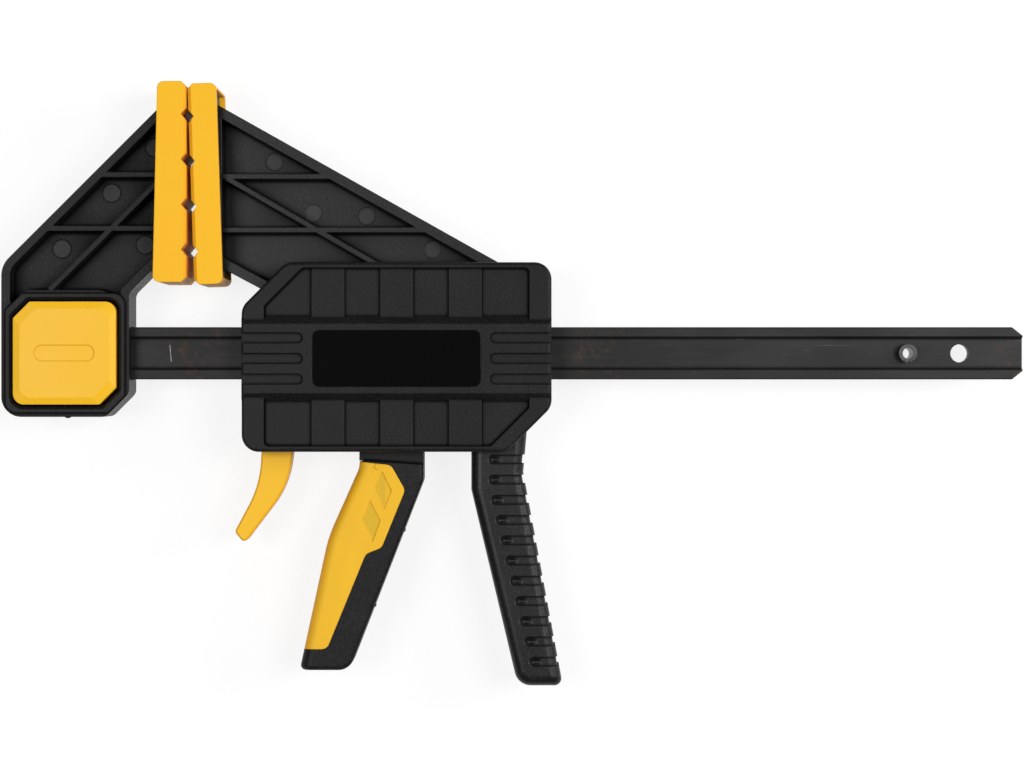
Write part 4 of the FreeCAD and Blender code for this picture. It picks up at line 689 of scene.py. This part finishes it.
@dataclass(frozen=True)
class PlatedSteel:
    """Zinc-coated or spring steel with a drawn or ground grain, and painted shade in its recesses.
    """

    tint: Colour = (0.46, 0.46, 0.47)
    dull: Colour = (0.26, 0.26, 0.27)
    bright: Colour = (0.68, 0.68, 0.68)
    recess: Colour = (0.02, 0.02, 0.02)
    streak: Pattern = Pattern(900.0, 3.0, 0.6, (1.0, 1.0, 0.15))
    streak_lift: float = 0.5
    cloud: Pattern = Pattern(150.0, 3.0, 0.6)
    cloud_span: Span = (0.3, 0.7)
    cloud_lift: float = 0.7
    edge_radius: float = 0.0003
    rim_span: Span = (0.05, 0.4)
    rim_share: float = 0.4
    recess_shade_reach: float = 0.0010
    recess_shade_span: Span = (0.1, 0.5)
    recess_shade_share: float = 0.8
    roughness: float = 0.34
    streak_roughness: float = 0.25
    cloud_roughness: float = 0.1
    relief_height: float = 0.00003
    relief_strength: float = 0.4

    def paint(self, name: str) -> bpy.types.Material:
        """Makes the material.

        Args:
            name: The material's name.

        Returns:
            The material.
        """
        shader = Shader(name)
        streak = shader.noise(self.streak)
        cloud = shader.noise(self.cloud)
        rims = shader.rims(self.edge_radius).step(*self.rim_span)
        # recess marks where shade is painted: the recesses are darkened toward near black
        recess = shader.hollows(self.recess_shade_reach).step(*self.recess_shade_span)
        lift = cloud.step(*self.cloud_span) * self.cloud_lift + (streak - HALF) * self.streak_lift
        tint = shader.blend(lift, self.dull, self.tint)
        tint = shader.blend(rims * self.rim_share, tint, self.bright)
        return shader.finish({
            "Base Color": shader.blend(recess * self.recess_shade_share, tint, self.recess),
            "Metallic": 1.0,
            "Roughness": (streak - HALF) * self.streak_roughness
            + (cloud - HALF) * self.cloud_roughness + self.roughness,
            "Normal": shader.bump(streak, self.relief_height, self.relief_strength,
                                  shader.rounded(self.edge_radius)),
        })


@dataclass(frozen=True)
class LabelFilm:
    """Glossy black film with a faint orange peel."""

    tint: Colour = (0.0009, 0.0009, 0.0010)
    dusty: Colour = (0.009, 0.009, 0.010)
    ripple: Pattern = Pattern(320.0, 2.0, 0.5)
    ripple_height: float = 0.00002
    ripple_strength: float = 0.25
    dust: Pattern = Pattern(1900.0, 2.0, 0.6)
    dust_span: Span = (0.66, 0.84)
    dust_share: float = 0.3
    dull_span: Span = (0.5, 0.8)
    dull_roughness: float = 0.05
    roughness: float = 0.08
    gloss: float = 0.24
    edge_radius: float = 0.0002

    def paint(self, name: str) -> bpy.types.Material:
        """Makes the material.

        Args:
            name: The material's name.

        Returns:
            The material.
        """
        shader = Shader(name)
        dust = shader.noise(self.dust)
        tint = shader.blend(dust.step(*self.dust_span) * self.dust_share, self.tint, self.dusty)
        return shader.finish({
            "Base Color": tint,
            "Roughness": dust.step(*self.dull_span) * self.dull_roughness + self.roughness,
            "Specular IOR Level": self.gloss,
            "Normal": shader.bump(shader.noise(self.ripple), self.ripple_height,
                                  self.ripple_strength, shader.rounded(self.edge_radius)),
        })


# Mesh tools

SMOOTH_ANGLE = 35.0
WELD_GAP = 2e-6
FLAT_ANGLE = 0.4
BEVEL_ANGLE = 30.0
BEVEL_SEGMENTS = 3
NUB_SIDES = 24
NUB_RINGS = 12


def put(shape: bmesh.types.BMesh, name: str, body: Body,
        material: bpy.types.Material) -> bpy.types.Object:
    """Turns a shape into a piece that rides on a body.

    Args:
        shape: The finished shape, freed here.
        name: The piece's name.
        body: The body that it rides on.
        material: Its material.

    Returns:
        The new object.
    """
    bmesh.ops.recalc_face_normals(shape, faces=shape.faces)
    mesh = bpy.data.meshes.new(name)
    shape.to_mesh(mesh)
    shape.free()
    mesh.materials.append(material)
    piece = bpy.data.objects.new(name, mesh)
    bpy.context.collection.objects.link(piece)
    mesh.shade_smooth()
    mesh.set_sharp_from_angle(angle=math.radians(SMOOTH_ANGLE))
    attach(piece, body.value)
    return piece


def merged(node: str) -> bmesh.types.BMesh:
    """Copies a node's mesh with its loose triangles joined and its flat faces whole.

    Args:
        node: The node's name.

    Returns:
        The joined copy.
    """
    shape = bmesh.new()
    shape.from_mesh(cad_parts[node].data)
    bmesh.ops.remove_doubles(shape, verts=shape.verts, dist=WELD_GAP)
    bmesh.ops.dissolve_limit(shape, angle_limit=math.radians(FLAT_ANGLE),
                             use_dissolve_boundaries=False, verts=shape.verts,
                             edges=shape.edges, delimit=set())
    return shape


def recoat(node: str, material: bpy.types.Material) -> None:
    """Gives a carried node its finish.

    Args:
        node: The node's name.
        material: The material.
    """
    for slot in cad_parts[node].material_slots:
        slot.material = material


def recast(node: str, name: str, body: Body, material: bpy.types.Material,
           width: float) -> None:
    """Stands a copy with rounded edges in the place of a node.

    Args:
        node: The node's name.
        name: The copy's name.
        body: The body that it rides on.
        material: Its material.
        width: How wide its edges are rounded.
    """
    piece = put(merged(node), name, body, material)
    bevel = piece.modifiers.new("edges", "BEVEL")
    bevel.width = width
    bevel.segments = BEVEL_SEGMENTS
    bevel.limit_method = "ANGLE"
    bevel.angle_limit = math.radians(BEVEL_ANGLE)
    bevel.use_clamp_overlap = True
    bevel.harden_normals = True
    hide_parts(node)


def skin(node: str, start: Vector, heading: Vector) -> tuple[Vector, Matrix]:
    """Finds where a line first meets a node.

    Args:
        node: The node's name.
        start: Where the line starts.
        heading: Its direction.

    Returns:
        The point met, and the turn from Z to the way out of the node there.
    """
    met, place, normal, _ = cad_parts[node].ray_cast(start, heading)
    if not met:
        raise ValueError(f"nothing of {node} lies that way")
    return place, normal.to_track_quat("Z", "Y").to_matrix().to_4x4()


def nub(shape: bmesh.types.BMesh, place: Vector, turn: Matrix, radius: float,
        height: float) -> None:
    """Adds a low round nub, such as a gate's mark, whose foot sinks into its carrier.

    Args:
        shape: The shape that it is added to.
        place: The middle of its foot.
        turn: The turn from Z to its own axis.
        radius: Its radius.
        height: Its height.
    """
    spread = Matrix.Diagonal((radius, radius, height, 1.0))
    bmesh.ops.create_uvsphere(shape, u_segments=NUB_SIDES, v_segments=NUB_RINGS, radius=1.0,
                              matrix=Matrix.Translation(place) @ turn @ spread)


class Axis(Enum):
    """The way a spring runs."""

    ALONG = Matrix.Identity(4)
    UPRIGHT = Matrix.Rotation(math.radians(-90.0), 4, "Y")


@dataclass(frozen=True)
class Spring:
    """A coil of round wire, wound in its node's box."""

    node: str
    name: str
    body: Body
    axis: Axis
    wire: float
    pitch: float
    joint: str
    keep: float
    pushed_from_high: bool = False
    steps: int = 56
    wire_sides: int = 14

    def wind(self, material: bpy.types.Material) -> None:
        """Winds the spring in its node's box.

        Args:
            material: Its material.
        """
        low, high = (Vector(corner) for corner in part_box(self.node))
        to_box = self.axis.value
        run = to_box.to_3x3() @ Vector((1.0, 0.0, 0.0))
        run = Vector((abs(run.x), abs(run.y), abs(run.z)))
        length = (high - low).dot(run)
        radius = (high - low).y / 2 - self.wire / 2
        turns = (length - self.wire) / self.pitch
        shape = bmesh.new()
        ring = bmesh.ops.create_circle(
            shape, cap_ends=False, segments=self.wire_sides, radius=self.wire / 2,
            matrix=Matrix.Translation((self.wire / 2, radius, 0.0)))["verts"]
        steps = round(self.steps * turns)
        bmesh.ops.spin(shape, geom=ring + list({e for v in ring for e in v.link_edges}),
                       cent=(0.0, 0.0, 0.0), axis=(1.0, 0.0, 0.0),
                       dvec=((length - self.wire) / steps, 0.0, 0.0),
                       angle=math.tau * turns, steps=steps, use_merge=False, use_duplicate=False)
        bmesh.ops.holes_fill(shape, edges=shape.edges, sides=0)
        middle = (low + high) / 2
        start = middle - run * (length / 2)
        bmesh.ops.transform(shape, matrix=Matrix.Translation(start) @ to_box, verts=shape.verts)
        piece = put(shape, self.name, self.body, material)
        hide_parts(self.node)
        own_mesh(piece)


# The clamp

@dataclass(frozen=True)
class Grooves:
    """The grooves of the fixed grip, which lean with its edge below a certain depth."""

    count: int = 11
    first: float = 0.0455
    pitch: float = 0.00866
    lean_start: float = 0.0585
    lean: float = 0.2378
    edge: float = 0.0393
    inset: float = 0.0024

    def ends(self) -> tuple[tuple[float, float], ...]:
        """Lists the grooves' scooped left ends.

        Returns:
            Their middles, as X and Y in metres.
        """
        depths = [self.first + number * self.pitch for number in range(self.count)]
        return tuple((self.edge + self.inset + max(0.0, depth - self.lean_start) * self.lean,
                      -depth) for depth in depths)


@dataclass
class Finishes:
    """All the materials, made once."""

    nylon: bpy.types.Material
    nylon_marked: bpy.types.Material
    nylon_grip: bpy.types.Material
    soft: bpy.types.Material
    sleeve: bpy.types.Material
    hard: bpy.types.Material
    oxide: bpy.types.Material
    plated: bpy.types.Material
    dull: bpy.types.Material
    wire: bpy.types.Material
    label: bpy.types.Material

    @classmethod
    def mix(cls) -> "Finishes":
        """Makes every finish.

        Returns:
            The set of materials.
        """
        return cls(
            nylon=Nylon().paint("black_nylon_finish"),
            nylon_marked=Nylon(mark_level=MARK_TOP).paint("black_nylon_jaw_finish"),
            nylon_grip=Nylon(mark_level=MARK_FLOOR, scoops=Grooves().ends(), roughness=0.37,
                             gloss=0.23, grain_roughness=0.2).paint("black_nylon_grip_finish"),
            soft=YellowMoulding(sheen=0.05).paint("yellow_pad_finish"),
            sleeve=YellowMoulding(sheen=0.05, tint=(0.79, 0.442, 0.012),
                                  pressed_depth=0.0109).paint("yellow_sleeve_finish"),
            hard=YellowMoulding(tint=(0.855, 0.475, 0.010), roughness=0.40,
                                grain=Pattern(1900.0, 3.0, 0.6),
                                grain_height=0.00002).paint("yellow_hard_finish"),
            oxide=OxideSteel().paint("oxide_steel_finish"),
            plated=PlatedSteel().paint("plated_steel_finish"),
            dull=PlatedSteel(tint=(0.052, 0.052, 0.052), dull=(0.024, 0.024, 0.024),
                             bright=(0.15, 0.15, 0.15)).paint("roll_pin_finish"),
            wire=PlatedSteel(tint=(0.36, 0.36, 0.37), dull=(0.2, 0.2, 0.21), roughness=0.3,
                             streak=Pattern(900.0, 3.0, 0.6)).paint("spring_wire_finish"),
            label=LabelFilm().paint("label_film_finish"),
        )


@dataclass
class BarAssembly:
    """The steel bar with its stop pin."""

    finishes: Finishes

    def dress(self) -> None:
        """Gives the bar and the stop pin their finishes."""
        recoat("steel_bar", self.finishes.oxide)
        recoat("stop_roll_pin", self.finishes.dull)


@dataclass
class FixedJaw:
    """The ribbed fixed jaw with its pad."""

    finishes: Finishes
    pad_edge: float = 0.0006
    nub_start: Vector = Vector((-0.1427, -0.060, MIDDLE))
    nub_radius: float = 0.0014
    nub_height: float = 0.0007

    def dress(self) -> None:
        """Gives the moulding its finish and sets the pad and the gate's nub on it."""
        recoat("fixed_jaw", self.finishes.nylon_marked)
        recast("fixed_jaw_pad", "fixed_pad_cap", Body.BAR, self.finishes.soft,
               self.pad_edge)
        shape = bmesh.new()
        nub(shape, *skin("fixed_jaw", self.nub_start, Vector((0.0, 1.0, 0.0))), self.nub_radius,
            self.nub_height)
        put(shape, "fixed_jaw_gate", Body.BAR, self.finishes.nylon)


@dataclass
class JawLatch:
    """The button with its pin, ring and spring."""

    finishes: Finishes
    spring: Spring = Spring("latch_spring", "latch_coil", Body.BAR, Axis.UPRIGHT, wire=0.0012,
                            pitch=0.0017, joint="button_press", keep=0.04)

    def dress(self) -> None:
        """Gives the latch its finishes and winds its spring."""
        recoat("jaw_release_button", self.finishes.hard)
        recoat("latch_pin", self.finishes.plated)
        recoat("latch_retaining_ring", self.finishes.wire)
        self.spring.wind(self.finishes.wire)


@dataclass
class SlidingHead:
    """The sliding jaw's moulding with its pad, covers, label and screws."""

    finishes: Finishes
    pad_edge: float = 0.0006
    head_radius: float = 0.0031
    head_level: float = 0.0038
    slot_reach: float = 0.0019
    slot_half: float = 0.00042
    slot_depth: float = 0.0013
    slot_taper: float = 0.72
    downward: float = -0.99
    level_gap: float = 1e-5

    def cross(self, shape: bmesh.types.BMesh, head: Vector) -> None:
        """Presses a cross recess into one screw's head.

        Args:
            shape: The screws.
            head: The middle of the head's face.
        """
        for way in (Vector((1.0, 0.0, 0.0)), Vector((0.0, 1.0, 0.0))):
            for offset in (-self.slot_reach, -self.slot_half, self.slot_half, self.slot_reach):
                near = [f for f in shape.faces if self.in_head(f, head)]
                cut = {*near, *(e for f in near for e in f.edges),
                       *(v for f in near for v in f.verts)}
                bmesh.ops.bisect_plane(shape, geom=list(cut), plane_co=head + way * offset,
                                       plane_no=way)
        arms = [f for f in shape.faces if self.in_head(f, head) and self.in_cross(f, head)]
        made = bmesh.ops.extrude_face_region(shape, geom=arms)["geom"]
        floor = [v for v in made if isinstance(v, bmesh.types.BMVert)]
        bmesh.ops.delete(shape, geom=arms, context="FACES_ONLY")
        bmesh.ops.translate(shape, verts=floor, vec=(0.0, 0.0, self.slot_depth))
        bmesh.ops.scale(shape, verts=floor, vec=(self.slot_taper, self.slot_taper, 1.0),
                        space=Matrix.Translation(-head))

    def is_flat(self, face: bmesh.types.BMFace, level: float) -> bool:
        """Tells whether a face looks straight down at a height."""
        return (face.normal.z < self.downward
                and abs(face.calc_center_median().z - level) < self.level_gap)

    def in_head(self, face: bmesh.types.BMFace, head: Vector) -> bool:
        """Tells whether a face is part of the head's flat."""
        gap = face.calc_center_median() - head
        return self.is_flat(face, head.z) and gap.length < self.head_radius

    def in_cross(self, face: bmesh.types.BMFace, head: Vector) -> bool:
        """Tells whether a face of the head lies in the recess."""
        near, far = sorted(abs(side) for side in (face.calc_center_median() - head).xy)
        return near < self.slot_half and far < self.slot_reach

    def screws(self) -> None:
        """Stands cross-recessed screws in the place of the plain ones."""
        shape = merged("cover_screws")
        heads = [f.calc_center_median() for f in shape.faces if self.is_flat(f, self.head_level)]
        for head in heads:
            self.cross(shape, head)
        piece = put(shape, "cross_screws", Body.HEAD, self.finishes.plated)
        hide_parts("cover_screws")

    def dress(self) -> None:
        """Gives the head's pieces their finishes and sets its pad and screws."""
        recoat("sliding_jaw_frame", self.finishes.nylon_grip)
        for node in ("front_cover", "rear_cover"):
            recoat(node, self.finishes.nylon)
        recast("sliding_jaw_pad", "sliding_pad_cap", Body.HEAD, self.finishes.soft,
               self.pad_edge)
        recoat("front_label", self.finishes.label)
        self.screws()


@dataclass
class Levers:
    """The trigger with its soft grip, and the release lever."""

    finishes: Finishes
    grip_edge: float = 0.0005
    nub_starts: tuple[Vector, ...] = (Vector((0.025, -0.0763, MIDDLE)),
                                      Vector((0.020, -0.1087, MIDDLE)))
    nub_radius: float = 0.0010
    nub_height: float = 0.0005
    gate_start: Vector = Vector((-0.0088, -0.0486, 0.060))
    gate_radius: float = 0.0013
    gate_height: float = 0.0005

    def dress(self) -> None:
        """Gives the levers their finishes and sets the soft grip and the ejector nubs."""
        recoat("trigger_core", self.finishes.nylon)
        gate = skin("trigger_front_grip", self.gate_start, Vector((0.0, 0.0, -1.0)))
        recast("trigger_front_grip", "trigger_grip_sleeve", Body.TRIGGER,
               self.finishes.sleeve, self.grip_edge)
        shape = bmesh.new()
        nub(shape, *gate, self.gate_radius, self.gate_height)
        put(shape, "sleeve_gate", Body.TRIGGER, self.finishes.sleeve)
        recoat("release_lever", self.finishes.hard)
        shape = bmesh.new()
        for start in self.nub_starts:
            nub(shape, *skin("trigger_core", start, Vector((-1.0, 0.0, 0.0))), self.nub_radius,
                self.nub_height)
        put(shape, "trigger_nubs", Body.TRIGGER, self.finishes.nylon)


@dataclass
class Works:
    """The plates, pins and springs inside the head."""

    finishes: Finishes
    springs: tuple[Spring, ...] = (
        Spring("drive_spring", "drive_coil", Body.HEAD, Axis.ALONG, wire=0.0018, pitch=0.0041,
               joint="drive_stroke", keep=0.83, pushed_from_high=True),
        Spring("brake_spring", "brake_coil", Body.HEAD, Axis.ALONG, wire=0.0009, pitch=0.0019,
               joint="brake_tilt", keep=0.76, pushed_from_high=True),
    )

    def dress(self) -> None:
        """Gives the works their finishes and winds the springs."""
        for node in ("trigger_pivot_pin", "release_pivot_pin", "drive_plate_1", "drive_plate_2",
                     "brake_plate_1", "brake_plate_2"):
            recoat(node, self.finishes.plated)
        for spring in self.springs:
            spring.wind(self.finishes.wire)


@dataclass(frozen=True)
class Lamp:
    """A square softbox: its place, the length of its side and its power."""

    name: str
    place: Vector
    size: float
    watts: float

    def hang(self, target: Vector) -> None:
        """Hangs the softbox so that it faces a point.

        Args:
            target: The point.
        """
        light = bpy.data.lights.new(self.name, "AREA")
        light.size = self.size
        light.energy = self.watts
        lamp = bpy.data.objects.new(self.name, light)
        aim = (target - self.place).to_track_quat("-Z", "Y").to_matrix().to_4x4()
        lamp.matrix_world = Matrix.Translation(self.place) @ aim
        bpy.context.collection.objects.link(lamp)


@dataclass
class Studio:
    """Floor, lamps, world and camera."""

    lamps: tuple[Lamp, ...] = (
        Lamp("right_softbox", Vector((0.76, 0.08, 1.62)), 0.6, 13.0),
        Lamp("left_softbox", Vector((-0.66, 0.02, 1.62)), 0.6, 12.0),
        Lamp("rim_softbox", Vector((1.15, 0.25, 0.70)), 0.45, 8.0),
    )
    target: Vector = Vector((0.04, -0.01, 0.02))
    sky: float = 0.16
    floor_half: float = 3.0
    floor_pale: Colour = (0.93, 0.93, 0.93)
    floor_dim: Colour = (0.91, 0.91, 0.91)
    floor_cloud: Pattern = Pattern(6.0, 2.0, 0.5)
    floor_cloud_share: float = 0.2
    floor_glow: float = 0.83
    floor_share: float = 0.18
    eye: Vector = Vector((0.04908, -0.01322, 1.252))
    lens: float = 100.1
    sensor: float = 36.0
    farthest: float = 20.0

    def floor(self) -> None:
        """Lays a pale floor that reads white to the camera and keeps the shadow."""
        shader = Shader("floor_paint")
        path = shader.node("ShaderNodeLightPath", {}, {})
        seen = [Value(shader, path.outputs[f"Is {kind} Ray"])
                for kind in ("Camera", "Glossy", "Transmission")]
        tint = shader.blend(shader.noise(self.floor_cloud) * self.floor_cloud_share,
                            self.floor_pale, self.floor_dim)
        matt = shader.node("ShaderNodeBsdfDiffuse", {}, {"Color": tint}).outputs[0]
        faint = shader.node("ShaderNodeBsdfDiffuse", {}, {
            "Color": (self.floor_share, self.floor_share, self.floor_share, 1.0)}).outputs[0]
        glow = shader.node("ShaderNodeEmission", {}, {"Strength": self.floor_glow}).outputs[0]
        both = shader.node("ShaderNodeAddShader", {}, {0: faint, 1: glow}).outputs[0]
        share = (seen[0] + seen[1] + seen[2]) > HALF
        mixed = shader.node("ShaderNodeMixShader", {}, {0: share, 1: matt, 2: both}).outputs[0]
        shader.node("ShaderNodeOutputMaterial", {}, {"Surface": mixed})
        shape = bmesh.new()
        bmesh.ops.create_grid(shape, x_segments=1, y_segments=1, size=self.floor_half)
        mesh = bpy.data.meshes.new("floor")
        shape.to_mesh(mesh)
        shape.free()
        mesh.materials.append(shader.material)
        piece = bpy.data.objects.new("floor", mesh)
        bpy.context.collection.objects.link(piece)

    def world(self) -> None:
        """Surrounds the clamp with even soft light."""
        world = bpy.data.worlds.new("studio")
        world.use_nodes = True
        tree = world.node_tree
        background = tree.nodes["Background"]
        path = tree.nodes.new("ShaderNodeLightPath")
        scale = tree.nodes.new("ShaderNodeMapRange")
        tree.links.new(path.outputs["Is Camera Ray"], scale.inputs["Value"])
        scale.inputs["To Min"].default_value = self.sky
        scale.inputs["To Max"].default_value = 1.0
        tree.links.new(scale.outputs["Result"], background.inputs["Strength"])
        background.inputs["Color"].default_value = (1.0, 1.0, 1.0, 1.0)
        bpy.context.scene.world = world

    def camera(self) -> None:
        """Sets the camera straight above the clamp."""
        data = bpy.data.cameras.new("camera")
        data.sensor_width = self.sensor
        data.lens = self.lens
        data.clip_end = self.farthest
        camera = bpy.data.objects.new("camera", data)
        camera.location = self.eye
        bpy.context.collection.objects.link(camera)
        bpy.context.scene.camera = camera

    def build(self) -> None:
        """Sets the whole studio up."""
        self.floor()
        for lamp in self.lamps:
            lamp.hang(self.target)
        self.world()
        self.camera()
        bpy.context.scene.view_settings.view_transform = "Standard"


def main() -> None:
    """Builds the studio and dresses the clamp, one sub-assembly after another."""
    logging.basicConfig(level=logging.INFO, format="%(name)s: %(message)s")
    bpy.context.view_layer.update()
    finishes = Finishes.mix()
    parts = (BarAssembly(finishes), FixedJaw(finishes), JawLatch(finishes), SlidingHead(finishes),
             Levers(finishes), Works(finishes))
    for part in parts:
        part.dress()
        LOG.info("%s dressed", type(part).__name__)
    Studio().build()
    LOG.info("studio set up")


if __name__ == "__main__":
    main()
